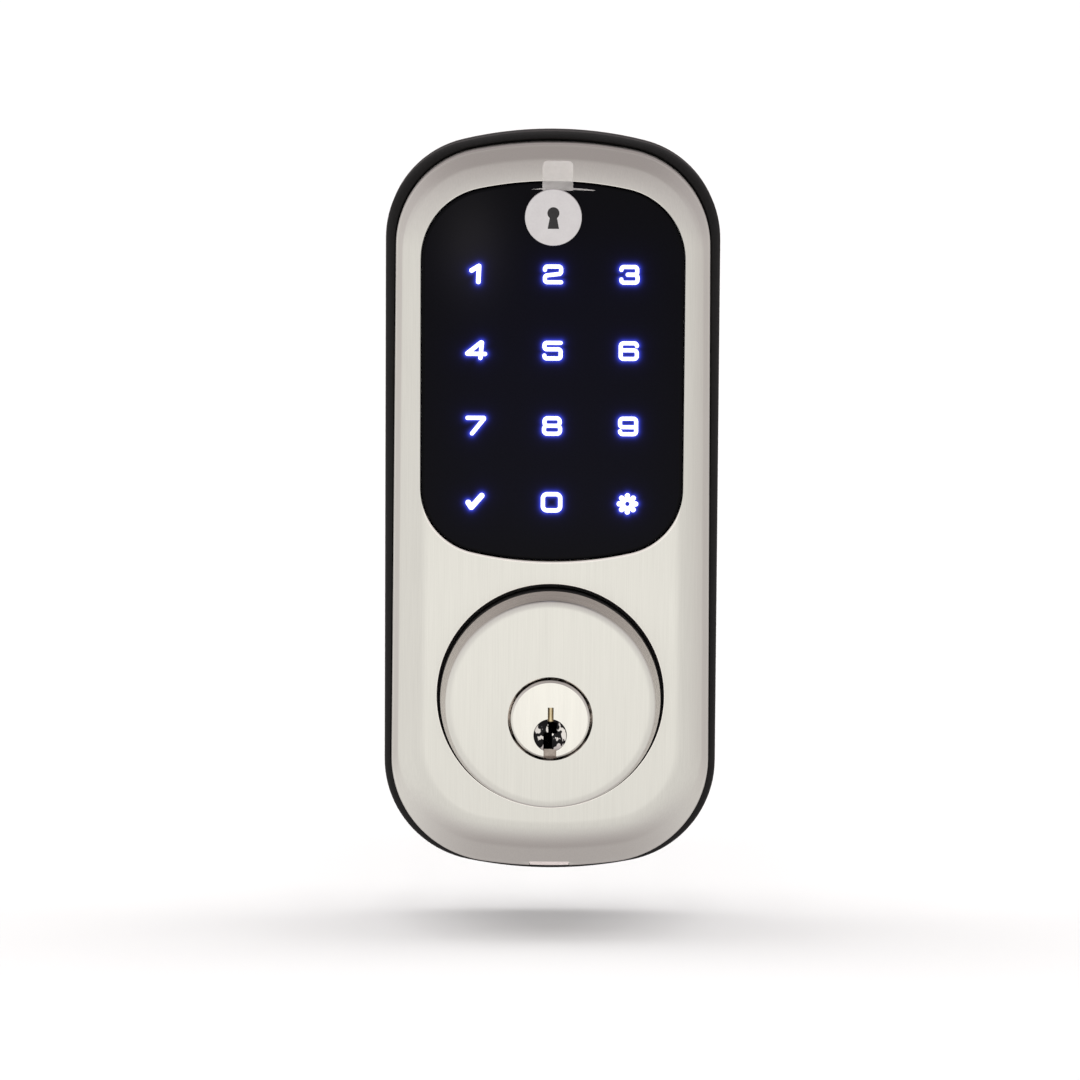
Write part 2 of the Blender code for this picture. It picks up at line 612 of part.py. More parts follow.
def cylinder_body():
    """A round brass body with the plug's bore, five pin chambers above it and two screw ears."""
    chamfer = 0.5 * MM
    profile = [
        (0, BODY_FRONT),
        (BODY_RADIUS - chamfer, BODY_FRONT),
        (BODY_RADIUS, BODY_FRONT + chamfer),
        (BODY_RADIUS, BODY_REAR - chamfer),
        (BODY_RADIUS - chamfer, BODY_REAR),
        (0, BODY_REAR),
    ]
    body = turned_deep("cylinder_body", profile, 36, 0, CYLINDER_Z)
    ear_front = PLATE_FRONT - GAP - 2.2 * MM
    ear_rear = PLATE_FRONT - GAP
    outline = []
    for degrees in EAR_DIRECTIONS:
        centre_angle = math.radians(degrees)
        x = EAR_REACH * math.cos(centre_angle)
        z = CYLINDER_Z + EAR_REACH * math.sin(centre_angle)
        for step in range(9):
            angle = centre_angle - math.pi / 2 + math.pi * step / 8
            outline.append((x + 4.0 * MM * math.cos(angle), z + 4.0 * MM * math.sin(angle)))
    join(body, plate("ears", [outline], ear_front, ear_rear))
    for index, (x, z) in enumerate(ear_places()):
        cut(body, deep_rod(f"ear_bore_{index}", x, z, ear_front - MM, ear_rear + MM, 1.45 * MM, 16))
    cut(body, deep_rod("plug_bore", 0, 0, BODY_FRONT - MM, BODY_REAR + MM, BORE_RADIUS, 48))
    for index, depth in enumerate(pin_depths()):
        low = (0, depth, 3 * MM)
        high = (0, depth, CHAMBER_TOP + MM)
        cut(body, rod(f"body_chamber_{index}", low, high, CHAMBER_RADIUS, segments=16))
    slot = box("cap_slot", (-1.9 * MM, -21.5 * MM, CHAMBER_TOP), (1.9 * MM, -1.3 * MM, 20 * MM))
    as_part(cut(body, slot, drill_pin("drill_pin_bore", 16 * MM, 0.75 * MM)), BRASS)

    cap = box("chamber_cap", (-1.6 * MM, -21.2 * MM, CHAMBER_TOP + GAP), (1.6 * MM, -1.6 * MM, 17.8 * MM))
    as_part(soften(cap, 0.2 * MM, 1), BRASS)
    as_part(drill_pin("anti_drill_pin", 11 * MM, 0.55 * MM), HARD_STEEL)


def keyway():
    """The cutters of the stepped keyway: a narrow crown, two offset wards and a foot open below."""
    steps = (
        (-0.35, 0.60, -0.7, 2.5),
        (-0.35, 1.20, -2.6, -0.5),
        (-1.20, 0.35, -5.5, -2.4),
        (-1.10, 1.20, -8.0, -5.3),
    )
    blades = []
    for index, (left, right, low, high) in enumerate(steps):
        corner = (left * MM, PLUG_FRONT - MM, low * MM)
        blades.append(box(f"keyway_{index}", corner, (right * MM, KEYWAY_REAR + 0.01 * index * MM, high * MM)))
    return blades


def key_plug():
    """The plug: a flanged nose with a dished key entry, five pin chambers and a bow-tie pocket at its rear."""
    chamfer = 0.7 * MM
    profile = [
        (0, PLUG_FRONT),
        (FLANGE_RADIUS - chamfer, PLUG_FRONT),
        (FLANGE_RADIUS, PLUG_FRONT + chamfer),
        (FLANGE_RADIUS, FLANGE_REAR),
        (PLUG_RADIUS, FLANGE_REAR),
        (PLUG_RADIUS, PLUG_REAR),
        (0, PLUG_REAR),
    ]
    plug = turned_deep("key_plug", profile, 48)
    dish = rod(
        "key_entry_dish",
        (0, PLUG_FRONT - 0.3 * MM, -2.8 * MM),
        (0, PLUG_FRONT + 0.9 * MM, -2.8 * MM),
        2.95 * MM,
        2.15 * MM,
    )
    cut(plug, dish, *keyway())
    for index, depth in enumerate(pin_depths()):
        low = (0, depth, CHAMBER_FLOOR)
        high = (0, depth, 9 * MM)
        cut(plug, rod(f"plug_chamber_{index}", low, high, CHAMBER_RADIUS, segments=16))

    lug_half = BLADE_HALF_THICKNESS + 0.2 * MM
    lug_angle = math.asin(lug_half / POCKET_RADIUS)
    outline = []
    for turn in (0, math.pi):
        for step in range(13):
            angle = turn - lug_angle + (math.pi / 2 + 2 * lug_angle) * step / 12
            outline.append((POCKET_RADIUS * math.cos(angle), POCKET_RADIUS * math.sin(angle)))
        side = -1 if turn == 0 else 1
        outline.append((side * lug_half, -side * lug_half))
    cut(plug, plate("blade_pocket", [outline], POCKET_FRONT, PLUG_REAR + MM))
    return as_part(plug, PLUG_NICKEL)


def plug_cap():
    """The cap behind the body: it holds the plug in and traps the tailpiece's head."""
    profile = [
        (8.0 * MM, BODY_REAR + GAP),
        (8.0 * MM, PLUG_REAR + 1.5 * MM),
        (7.6 * MM, PLUG_REAR + 1.9 * MM),
        (3.9 * MM, PLUG_REAR + 1.9 * MM),
        (3.9 * MM, PLUG_REAR + GAP),
        (PLUG_RADIUS + 0.2 * MM, PLUG_REAR + GAP),
        (PLUG_RADIUS + 0.2 * MM, BODY_REAR + GAP),
    ]
    return as_part(turned_deep("plug_cap", profile, 28), BRASS)


def tailpiece():
    """A flat blade, upright at rest, whose wide head turns in the plug's pocket."""
    head_front = POCKET_FRONT + GAP
    head_rear = PLUG_REAR - 0.1 * MM
    head_low = (-BLADE_HALF_THICKNESS, head_front, -HEAD_HALF_WIDTH)
    head_high = (BLADE_HALF_THICKNESS, head_rear, HEAD_HALF_WIDTH)
    blade_low = (-BLADE_HALF_THICKNESS, head_front, -BLADE_HALF_WIDTH)
    blade_high = (BLADE_HALF_THICKNESS, BLADE_END, BLADE_HALF_WIDTH)
    blade = box("tailpiece", blade_low, blade_high)
    return as_part(join(soften(blade, 0.3 * MM, 1), box("tailpiece_head", head_low, head_high)), STEEL)


def key_pin(index, depth, length):
    low = KEY_PIN_TOP - length
    profile = [
        (0, KEY_PIN_TOP),
        (PIN_RADIUS - 0.15 * MM, KEY_PIN_TOP),
        (PIN_RADIUS, KEY_PIN_TOP - 0.15 * MM),
        (PIN_RADIUS, low + 1.0 * MM),
        (0.4 * MM, low),
        (0, low),
    ]
    return as_part(turned(f"key_pin_{index}", profile, 12, Matrix.Translation((0, depth, 0))), BRASS)


def driver_pin(index, depth):
    top = DRIVER_LOW + DRIVER_LENGTH
    edge = 0.25 * MM
    profile = [
        (0, top),
        (PIN_RADIUS - edge, top),
        (PIN_RADIUS, top - edge),
        (PIN_RADIUS, DRIVER_LOW + edge),
        (PIN_RADIUS - edge, DRIVER_LOW),
        (0, DRIVER_LOW),
    ]
    as_part(turned(f"driver_pin_{index}", profile, 12, Matrix.Translation((0, depth, 0))), STEEL)


def pin_spring(index, depth):
    """An open coil between the driver pin and the chamber's cap."""
    wire = 0.16 * MM
    coil_radius = 0.95 * MM
    turns = 3
    points_per_turn = 8
    low = DRIVER_LOW + DRIVER_LENGTH + GAP + wire
    high = SPRING_TOP - wire
    curve = bpy.data.curves.new(f"pin_spring_{index}", "CURVE")
    curve.dimensions = "3D"
    curve.bevel_depth = wire
    curve.bevel_resolution = 1
    curve.use_fill_caps = True
    spline = curve.splines.new("POLY")
    count = turns * points_per_turn + 1
    spline.points.add(count - 1)
    for step, point in enumerate(spline.points):
        angle = 2 * math.pi * step / points_per_turn
        height = low + (high - low) * step / (count - 1)
        point.co = (coil_radius * math.cos(angle), coil_radius * math.sin(angle), height, 1)
    guide = bpy.data.objects.new(curve.name, curve)
    guide.matrix_world = Matrix.Translation((0, depth, 0))
    as_part(meshed(guide), SPRING_STEEL)


def mounting_posts():
    """Threaded posts that stand in the door's bore; their flanges bear on the front of the inner plate."""
    flange_rear = PLATE_FRONT - GAP
    profile = [
        (0, flange_rear - 2.0 * MM),
        (4.4 * MM, flange_rear - 2.0 * MM),
        (4.8 * MM, flange_rear - 1.6 * MM),
        (4.8 * MM, flange_rear),
        (POST_RADIUS, flange_rear),
        (POST_RADIUS, POST_END - 0.5 * MM),
        (POST_RADIUS - 0.5 * MM, POST_END),
        (2.0 * MM, POST_END),
        (2.0 * MM, -4.0 * MM),
        (0, -5.2 * MM),
    ]
    for side, name in ((-1, "mounting_post_left"), (1, "mounting_post_right")):
        as_part(turned_deep(name, profile, 20, side * POST_X), STEEL)


def axis_empty(name):
    empty = bpy.data.objects.new(name, None)
    parts.objects.link(empty)
    return empty


def cylinder():
    cylinder_face()
    cylinder_body()
    turning = [key_plug(), plug_cap()]
    for index, (depth, length) in enumerate(zip(pin_depths(), KEY_PIN_LENGTHS), 1):
        turning.append(key_pin(index, depth, length))
        driver_pin(index, depth)
        pin_spring(index, depth)
    plug_axis = axis_empty("plug_axis")
    tail_axis = axis_empty("tailpiece_axis")
    tail_axis.parent = plug_axis
    for piece in turning:
        piece.parent = plug_axis
    tailpiece().parent = tail_axis
    mounting_posts()


front_cover()
rear_housing()
door_gasket()
inner_plate()
plate_screws()
keypad()
badge_and_film()
emergency_terminals()
cylinder()
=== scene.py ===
"""Looks of the keypad smart lock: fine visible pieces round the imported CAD, a studio and a camera.

Everything is in metres in the CAD's frame: +Z up, the keypad faces -Y, and the origin is on the plug's axis at
the door's face. Sizes come from the CAD nodes' boxes, or are named where a box can't tell them.
"""

import json
import math
from collections import namedtuple

import bmesh
import bpy
import numpy as np
from mathutils import Matrix, Vector

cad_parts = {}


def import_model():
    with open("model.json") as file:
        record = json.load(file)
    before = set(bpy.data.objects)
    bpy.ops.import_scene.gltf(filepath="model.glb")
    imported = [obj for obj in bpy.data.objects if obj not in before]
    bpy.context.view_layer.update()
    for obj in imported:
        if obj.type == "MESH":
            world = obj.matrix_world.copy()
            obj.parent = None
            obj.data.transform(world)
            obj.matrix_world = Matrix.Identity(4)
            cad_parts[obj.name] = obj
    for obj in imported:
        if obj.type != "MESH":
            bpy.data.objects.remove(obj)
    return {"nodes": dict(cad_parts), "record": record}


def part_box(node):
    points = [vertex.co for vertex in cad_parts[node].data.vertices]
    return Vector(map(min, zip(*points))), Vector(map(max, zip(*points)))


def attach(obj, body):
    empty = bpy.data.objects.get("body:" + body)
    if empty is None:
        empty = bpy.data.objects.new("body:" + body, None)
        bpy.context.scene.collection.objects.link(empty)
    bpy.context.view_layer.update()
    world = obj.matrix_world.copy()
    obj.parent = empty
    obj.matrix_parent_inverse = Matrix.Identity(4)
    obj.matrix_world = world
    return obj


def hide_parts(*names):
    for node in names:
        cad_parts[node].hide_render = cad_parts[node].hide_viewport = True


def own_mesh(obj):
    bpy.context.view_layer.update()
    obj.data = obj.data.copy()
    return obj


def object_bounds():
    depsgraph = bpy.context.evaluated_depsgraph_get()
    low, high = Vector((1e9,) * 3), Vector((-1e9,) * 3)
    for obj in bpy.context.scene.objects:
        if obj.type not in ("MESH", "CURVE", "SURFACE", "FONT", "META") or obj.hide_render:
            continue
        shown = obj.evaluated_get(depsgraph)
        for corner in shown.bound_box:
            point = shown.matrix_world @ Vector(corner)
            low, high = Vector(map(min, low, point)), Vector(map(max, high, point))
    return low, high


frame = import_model()
CAD_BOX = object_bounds()
MM = 0.001
GAP = 0.3 * MM
TURN = 2 * math.pi
QUARTER = math.pi / 2

# ---- sizes

Arch = namedtuple("Arch", "top bottom")
End = namedtuple("End", "half tip corner crown")


def arch_of(node, narrower, corner, crown, low_corner, low_crown):
    """The arched ends of a CAD node. It is narrower above by so many mm, and the radii are in mm too."""
    low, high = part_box(node)
    top = End(high.x - narrower * MM, high.z, corner * MM, crown * MM)
    return Arch(top, End(high.x, low.z, low_corner * MM, low_crown * MM))


def box_of(node):
    """A CAD node's low corner, high corner and middle."""
    low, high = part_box(node)
    return low, high, tuple((a + b) / 2 for a, b in zip(low, high))


def depths_of(node):
    """The depths where a CAD node starts and ends."""
    return [corner.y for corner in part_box(node)]


COVER = arch_of("front_cover", 0.7, 17.0, 70.0, 19.0, 84.0)
HOUSING = arch_of("rear_housing", 0.15, 17.6, 68.5, 18.8, 74.0)
LENS = arch_of("touch_lens", 0.0, 12.6, 63.0, 11.6, 62.3)

COVER_TIP = COVER.bottom.tip
COVER_FACE = depths_of("front_cover")[0]
COVER_REAR = COVER_FACE + 11.2 * MM
COVER_WALL = 1.8 * MM
ROLL_WIDTH = 6.4 * MM
ROLL_DEPTH = 5.6 * MM
HOUSING_RIM, HOUSING_REAR = depths_of("rear_housing")
HOUSING_FLOOR = HOUSING_REAR - 2.0 * MM
PLATE_FRONT, PLATE_REAR = depths_of("inner_plate")
LENS_FRONT, LENS_REAR = depths_of("touch_lens")
FACE_FRONT, FACE_REAR = depths_of("cylinder_face")
_, (FACE_RADIUS, _, _), (_, _, FACE_Z) = box_of("cylinder_face")
FACE_SEEN_Z = FACE_Z - 0.45 * MM
FACE_HOLE = FACE_RADIUS + 0.45 * MM
FACE_FLAT = FACE_RADIUS - 2.4 * MM
FACE_FOOT = COVER_FACE - 1.9 * MM
BODY_FRONT, BODY_REAR = depths_of("cylinder_body")
BODY_RADIUS = 15.0 * MM
PLUG_FRONT, PLUG_REAR = depths_of("key_plug")
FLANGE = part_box("key_plug")[1].x
PINS = range(1, 6)
CHAMBER_RADIUS = 1.5 * MM
SHARP_ANGLE = math.radians(33)

# ---- materials


def wired(node, **sockets):
    """Sets or links a shader node's inputs, by their names with _ for a space."""
    for name, value in sockets.items():
        socket = node.inputs[name.replace("_", " ")]
        if isinstance(value, bpy.types.NodeSocket):
            node.id_data.links.new(value, socket)
        else:
            socket.default_value = value
    return node


def added(near, kind, settings=(), **sockets):
    """A new shader node in the tree of another node or socket. Its settings are (attribute, value) pairs."""
    node = near.id_data.nodes.new("ShaderNode" + kind)
    for name, value in settings:
        setattr(node, name, value)
    return wired(node, **sockets)


def shader(name, colour, roughness, metallic=0.0, **sockets):
    """A Principled material and its Principled node."""
    made = bpy.data.materials.new(name)
    made.use_nodes = True
    surface = made.node_tree.nodes["Principled BSDF"]
    wired(surface, Base_Color=(*colour, 1.0), Roughness=roughness, Metallic=metallic, **sockets)
    return made, surface


def noise(near, stretch, detail=4.0, roughness=0.6, start=0.0, share=1.0):
    """Noise in the object's own metres. Stretch is how many features fit in a metre, or along x, y and z."""
    counts = stretch if isinstance(stretch, tuple) else (stretch,) * 3
    place = added(near, "TexCoord").outputs["Object"]
    scale = tuple(count * share for count in counts)
    moved = added(near, "Mapping", Vector=place, Scale=scale, Location=(start, start * 0.7, start * 0.3))
    made = added(near, "TexNoise", Vector=moved.outputs[0], Scale=1.0, Detail=detail, Roughness=roughness)
    return made.outputs["Fac"]


def spread(value, low, high, from_low=0.3, from_high=0.7):
    """The value, moved to a new range."""
    ends = {"From_Min": from_low, "From_Max": from_high, "To_Min": low, "To_Max": high}
    return added(value, "MapRange", Value=value, **ends).outputs["Result"]


def tinted(value, dark, light):
    """A colour between two, by the value."""
    ends = {"A": (*dark, 1.0), "B": (*light, 1.0)}
    return added(value, "Mix", [("data_type", "RGBA")], Factor=value, **ends).outputs["Result"]


def shown(made, kind, *parts):
    """Ends a material in a node of the kind, which blends the parts."""
    output = made.node_tree.nodes["Material Output"]
    blend = added(output, kind)
    for socket, part in zip(blend.inputs, parts):
        made.node_tree.links.new(part, socket)
    wired(output, Surface=blend.outputs[0])


def bumped(surface, value, distance):
    bump = added(surface, "Bump", Strength=1.0, Distance=distance, Height=value)
    wired(surface, Normal=bump.outputs["Normal"])


def grained(name, colour, roughness, stretch, vary, rough_vary, depth, metallic=1.0, **sockets):
    """A metal or plastic with a grain: streaks of colour, gloss and height."""
    made, surface = shader(name, colour, roughness, metallic, **sockets)
    grain = noise(surface, stretch)
    dark, light = (tuple(min(1.0, channel * share) for channel in colour) for share in (1 - vary, 1 + vary))
    wired(surface, Base_Color=tinted(spread(grain, 0, 1), dark, light))
    broad = noise(surface, stretch, 3.0, 0.5, 7.3, 0.25)
    wired(surface, Roughness=spread(broad, roughness - rough_vary, roughness + rough_vary))
    if depth:
        bumped(surface, grain, depth)
    return made


def mottled(name, dark, light, roughness, stretch, low, high):
    """A metal with clear near-black and light patches: painted shade."""
    made, surface = shader(name, light, roughness, 1.0)
    patches = noise(surface, stretch, 3.0, 0.5, 2.0)
    wired(surface, Base_Color=tinted(spread(patches, 0, 1, low, high), dark, light))
    wired(surface, Roughness=spread(patches, roughness + 0.06, roughness - 0.06))
    return made


def circuit_board():
    """Green solder mask with darker tracks under it."""
    made, surface = shader("circuit_board", (0.03, 0.16, 0.07), 0.38)
    place = added(surface, "TexCoord").outputs["Object"]
    net = [("feature", "DISTANCE_TO_EDGE"), ("distance", "MANHATTAN")]
    tracks = added(surface, "TexVoronoi", net, Vector=place, Scale=420)
    line = spread(tracks.outputs["Distance"], 0, 1, 0.04, 0.12)
    wired(surface, Base_Color=tinted(line, (0.05, 0.24, 0.10), (0.02, 0.12, 0.05)))
    bumped(surface, line, 1e-5)
    return made


def lens_glass():
    """Black glass with the faintest smears. The light of the symbols and a faint painted reflection spread in
    it by the glow attribute.
    """
    black = (0.0022, 0.0022, 0.0034)
    made, surface = shader("lens_black", black, 0.05, IOR=1.27, Specular_IOR_Level=0.16)
    wired(surface, Roughness=spread(noise(surface, (90, 90, 45), 5.0, 0.55), 0.035, 0.11))
    glow = added(surface, "Attribute", [("attribute_name", "glow")])
    wired(surface, Emission_Color=glow.outputs["Color"], Emission_Strength=1.0)
    return made


def lit_symbol():
    """Cool white light with the slightest grain."""
    made, surface = shader("lit_symbol", (0.85, 0.88, 1.0), 0.4, Emission_Strength=1.0)
    grain = spread(noise(surface, 600), 0, 1)
    wired(surface, Emission_Color=tinted(grain, (0.97, 0.98, 1.15), (1.05, 1.06, 1.3)))
    return made


def clear_film():
    """Thin milky film: mostly clear, with a soft white sheen that varies a little."""
    made, surface = shader("clear_film", (0.93, 0.91, 0.89), 0.32)
    wired(surface, Alpha=spread(noise(surface, (260, 260, 420)), 0.40, 0.54))
    return made


def polished_dish():
    """A bright concave cut with a painted reflection: in some patches its colour is near black, as if it
    mirrored a dark room, and in others bright, as if it mirrored the lights.
    """
    made, surface = shader("polished_dish", (0.7, 0.7, 0.68), 0.08, 1.0)
    facets = noise(surface, (900, 500, 640), 2.0, 0.5, 3.1)
    # Painted reflection: the colour is near black in some patches and bright in others, for a dark room and
    # the lights mirrored in the facets.
    edges = spread(facets, 0, 1, 0.545, 0.575)
    wired(surface, Base_Color=tinted(edges, (0.018, 0.018, 0.019), (0.86, 0.85, 0.82)))
    bumped(surface, facets, 4e-5)
    return made


# A grained look is its colour, roughness and stretch, how much colour and gloss vary, and the grain's height.
METALS = {
    # Painted shade: a darker, browner copy of the satin nickel for the cylinder face's tapered side.
    "side_nickel_painted_shade": ((0.62, 0.580, 0.555), 0.28, (260, 4200, 260), 0.05, 0.05, 1e-6),
    # Painted highlight: a brighter copy of the satin nickel, with lower roughness, for the bevels round the
    # window, the hole and the contact bores.
    "nickel_painted_highlight": ((0.95, 0.93, 0.90), 0.18, 900, 0.03, 0.04, 0),
    "plug_nickel": ((0.82, 0.825, 0.785), 0.22, (3800, 3800, 160), 0.02, 0.03, 6e-7),
    # Painted shade for the keyway and other recesses: near black, dark brown, and grey-brown for the shallow
    # lower slot.
    "recess_painted_shade": ((0.035, 0.033, 0.032), 0.30, (3000, 200, 3000), 0.10, 0.08, 2e-6),
    "upper_slot_painted_shade": ((0.24, 0.21, 0.17), 0.26, (3000, 200, 3000), 0.04, 0.05, 1e-6),
    "lower_slot_painted_shade": ((0.43, 0.385, 0.345), 0.34, (3000, 200, 3000), 0.10, 0.08, 3e-6),
    "brass": ((0.80, 0.62, 0.33), 0.24, (2600, 300, 2600), 0.07, 0.06, 1.2e-6),
    "worn_brass": ((0.80, 0.68, 0.43), 0.35, (1500, 1500, 700), 0.12, 0.06, 4e-6),
    "machined_brass": ((0.72, 0.56, 0.29), 0.30, (900, 5200, 900), 0.07, 0.06, 1.5e-6),
    "zinc_steel": ((0.60, 0.61, 0.62), 0.34, 420, 0.08, 0.08, 4e-6),
    "rolled_zinc_steel": ((0.58, 0.59, 0.60), 0.30, (3000, 90, 3000), 0.08, 0.06, 1.5e-6),
    "hard_steel": ((0.32, 0.32, 0.34), 0.30, (300, 2600, 2600), 0.08, 0.05, 1e-6),
    "spring_steel": ((0.62, 0.62, 0.62), 0.25, 2600, 0.06, 0.05, 1e-6),
    "contact_plating": ((0.80, 0.78, 0.74), 0.18, (900, 900, 3600), 0.04, 0.04, 1e-6),
    "badge_aluminium": ((0.80, 0.80, 0.825), 0.42, 2600, 0.02, 0.05, 1.5e-6),
}
PLASTICS = {
    "gasket_rubber": ((0.022, 0.022, 0.022), 0.78, 2200, 0.25, 0.05, 1.2e-5),
    "chip_black": ((0.02, 0.02, 0.021), 0.5, 5200, 0.2, 0.05, 4e-6),
    "socket_nylon": ((0.78, 0.76, 0.68), 0.45, 1400, 0.03, 0.05, 3e-6),
    "sensor_film": ((0.35, 0.30, 0.12), 0.3, 600, 0.06, 0.05, 0),
    "light_guide": ((0.82, 0.85, 0.92), 0.4, 900, 0.03, 0.05, 0),
    "badge_print": ((0.016, 0.016, 0.018), 0.45, 2600, 0.15, 0.05, 0),
}


def looks():
    """Every material, by its name."""
    made = [grained(name, *values) for name, values in METALS.items()]
    made += [grained(name, *values, metallic=0.0) for name, values in PLASTICS.items()]
    nickel = ((0.768, 0.778, 0.742), 0.30, (5200, 5200, 90), 0.033, 0.010, 1e-6)
    made.append(grained("satin_nickel", *nickel, Anisotropic=0.45))
    plastic = ((0.0150, 0.0147, 0.0150), 0.52, 3800, 0.2, 0.04, 6e-6, 0.0)
    made.append(grained("black_plastic", *plastic, Specular_IOR_Level=0.11))
    # Painted light: the notch's pale slip glows faintly, though it is no lamp.
    pale = (0.80, 0.72, 0.70)
    glow = {"Emission_Color": (*pale, 1.0), "Emission_Strength": 0.12}
    made.append(grained("pale_slip_painted_glow", pale, 0.5, 1500, 0.05, 0.05, 0, 0.0, **glow))
    # Painted shade in patches: the plug hole's edge and the cylinder body's front, seen in the narrow gap
    # round the plug.
    dark = (0.012, 0.011, 0.010)
    made.append(mottled("hole_edge_painted_shade", dark, (0.50, 0.44, 0.40), 0.22, 230, 0.44, 0.56))
    made.append(mottled("body_front_painted_shade", dark, (0.40, 0.34, 0.30), 0.25, 420, 0.50, 0.60))
    made += [circuit_board(), polished_dish(), lens_glass(), lit_symbol(), clear_film()]
    return {material.name.split(".")[0]: material for material in made}


LOOKS = looks()

# ---- shapes


def add(name, data):
    """A new object in the scene."""
    obj = bpy.data.objects.new(name, data)
    bpy.context.scene.collection.objects.link(obj)
    return obj


def mesh_of(name, points, faces):
    mesh = bpy.data.meshes.new(name)
    mesh.from_pydata([tuple(point) for point in points], [], [tuple(face) for face in faces])
    return add(name, mesh)


def outward(obj, weld=False):
    """Turns every face outwards. A weld first merges the points that meet."""
    shape = bmesh.new()
    shape.from_mesh(obj.data)
    if weld:
        bmesh.ops.remove_doubles(shape, verts=shape.verts, dist=0.0005 * MM)
    bmesh.ops.recalc_face_normals(shape, faces=shape.faces)
    shape.to_mesh(obj.data)
    shape.free()
    return obj


def arc(x, z, radius, start, swing, steps):
    """The points of an arc about (x, z), one more than its steps."""
    angles = [start + swing * step / steps for step in range(steps + 1)]
    return [(x + radius * math.cos(angle), z + radius * math.sin(angle)) for angle in angles]


def circle(x, z, radius, segments):
    return arc(x, z, radius, 0, TURN, segments)[:-1]


def fillets(corners, steps=5):
    """A profile from (across, along, radius) corners, each turned into an arc of its radius."""
    points = [Vector(corners[0][:2])]
    for before, corner, after in zip(corners, corners[1:], corners[2:]):
        here = Vector(corner[:2])
        if corner[2] <= 0:
            points.append(here)
            continue
        back = Vector(before[:2]) - here
        on = Vector(after[:2]) - here
        half = back.angle(on) / 2
        reach = min(corner[2] / math.tan(half), back.length * 0.98, on.length * 0.98)
        radius = reach * math.tan(half)
        centre = here + (back.normalized() + on.normalized()).normalized() * (radius / math.sin(half))
        start = here + back.normalized() * reach - centre
        swing = start.angle_signed(here + on.normalized() * reach - centre)
        points += [centre + Matrix.Rotation(-swing * step / steps, 2) @ start for step in range(steps + 1)]
    points.append(Vector(corners[-1][:2]))
    return [tuple(point) for point in points]


def skin(name, rings, capped=True):
    """Joins a row of rings that have equal counts, and closes the two ends."""
    count = len(rings[0])
    points = [point for ring in rings for point in ring]
    faces = []
    for row in range(len(rings) - 1):
        for i in range(count):
            a = row * count + i
            b = row * count + (i + 1) % count
            faces.append((a, b, b + count, a + count))
    if capped:
        faces.append(tuple(range(count))[::-1])
        faces.append(tuple(range(count * (len(rings) - 1), count * len(rings))))
    return outward(mesh_of(name, points, faces))


def at_depth(outline, depth):
    return [(x, depth, z) for x, z in outline]


def turned(name, profile, x=0.0, z=0.0, segments=144, capped=True):
    """A solid turned about a line along Y, from (radius, depth) points."""
    return skin(name, [at_depth(circle(x, z, radius, segments), depth) for radius, depth in profile], capped)


def tube(name, profile, x=0.0, z=0.0, segments=144):
    """A turned ring whose profile closes on itself."""
    return outward(turned(name, [*profile, profile[0]], x, z, segments, False), weld=True)


def arched_end(half, tip, corner, crown, inset, inset_z, upward):
    """Half of an arched end, from its tip on the centre line to where its straight side starts."""
    half -= inset
    corner -= inset
    crown -= inset_z
    tip -= upward * inset_z
    crown_z = tip - upward * crown
    corner_x = half - corner
    swing = math.asin(corner_x / (crown - corner))
    corner_z = crown_z + upward * (crown - corner) * math.cos(swing)
    points = []
    for angle in (swing * step / 12 for step in range(12)):
        points.append((crown * math.sin(angle), crown_z + upward * crown * math.cos(angle)))
    for angle in (swing + (QUARTER - swing) * step / 22 for step in range(23)):
        points.append((corner_x + corner * math.sin(angle), corner_z + upward * corner * math.cos(angle)))
    return points


def arch(size, inset=0.0, stretch_top=1.0, stretch_bottom=1.0):
    """The (x, z) outline of an arched piece, moved inwards by the inset. A stretch moves an end further."""
    above = arched_end(*size.top, inset, inset * stretch_top, 1)
    below = arched_end(*size.bottom, inset, inset * stretch_bottom, -1)
    (x0, z0), (x1, z1) = above[-1], below[-1]
    side = [(x0 + (x1 - x0) * step / 8, z0 + (z1 - z0) * step / 8) for step in range(1, 8)]
    right = above + side + below[::-1]
    return right + [(-x, z) for x, z in right[-2:0:-1]]


def arched(name, size, profile, capped=True):
    """A solid whose rings follow an arched outline, from (inset, depth) points."""
    return skin(name, [at_depth(arch(size, inset), depth) for inset, depth in profile], capped)


def box(name, low, high):
    points = [(x, y, z) for x in (low[0], high[0]) for y in (low[1], high[1]) for z in (low[2], high[2])]
    faces = [(0, 1, 3, 2), (4, 6, 7, 5), (0, 4, 5, 1), (2, 3, 7, 6), (0, 2, 6, 4), (1, 5, 7, 3)]
    return mesh_of(name, points, faces)


def rod(name, start, end, radius, segments=48):
    start, end = Vector(start), Vector(end)
    turn = Vector((0, 0, 1)).rotation_difference(end - start)
    ring = [turn @ Vector((*point, 0)) for point in circle(0, 0, radius, segments)]
    return skin(name, [[tuple(centre + point) for point in ring] for centre in (start, end)])


def deep_rod(name, x, z, front, rear, radius, segments=48):
    return rod(name, (x, front, z), (x, rear, z), radius, segments)


def painted(obj, look):
    obj.data.materials.clear()
    obj.data.materials.append(LOOKS[look])
    return obj


def settled(obj):
    """Applies the object's modifiers."""
    graph = bpy.context.evaluated_depsgraph_get()
    result = obj.evaluated_get(graph)
    mesh = bpy.data.meshes.new_from_object(result, preserve_all_data_layers=True, depsgraph=graph)
    obj.modifiers.clear()
    obj.data = mesh
    return obj


def cut(obj, look, *others, operation="DIFFERENCE"):
    """Cuts the others from the object, or joins them to it with UNION. What they leave takes the look."""
    for other in others:
        step = obj.modifiers.new("shape", "BOOLEAN")
        step.operation = operation
        step.object = painted(other, look)
        step.material_mode = "TRANSFER"
    settled(obj)
    for other in others:
        bpy.data.objects.remove(other)


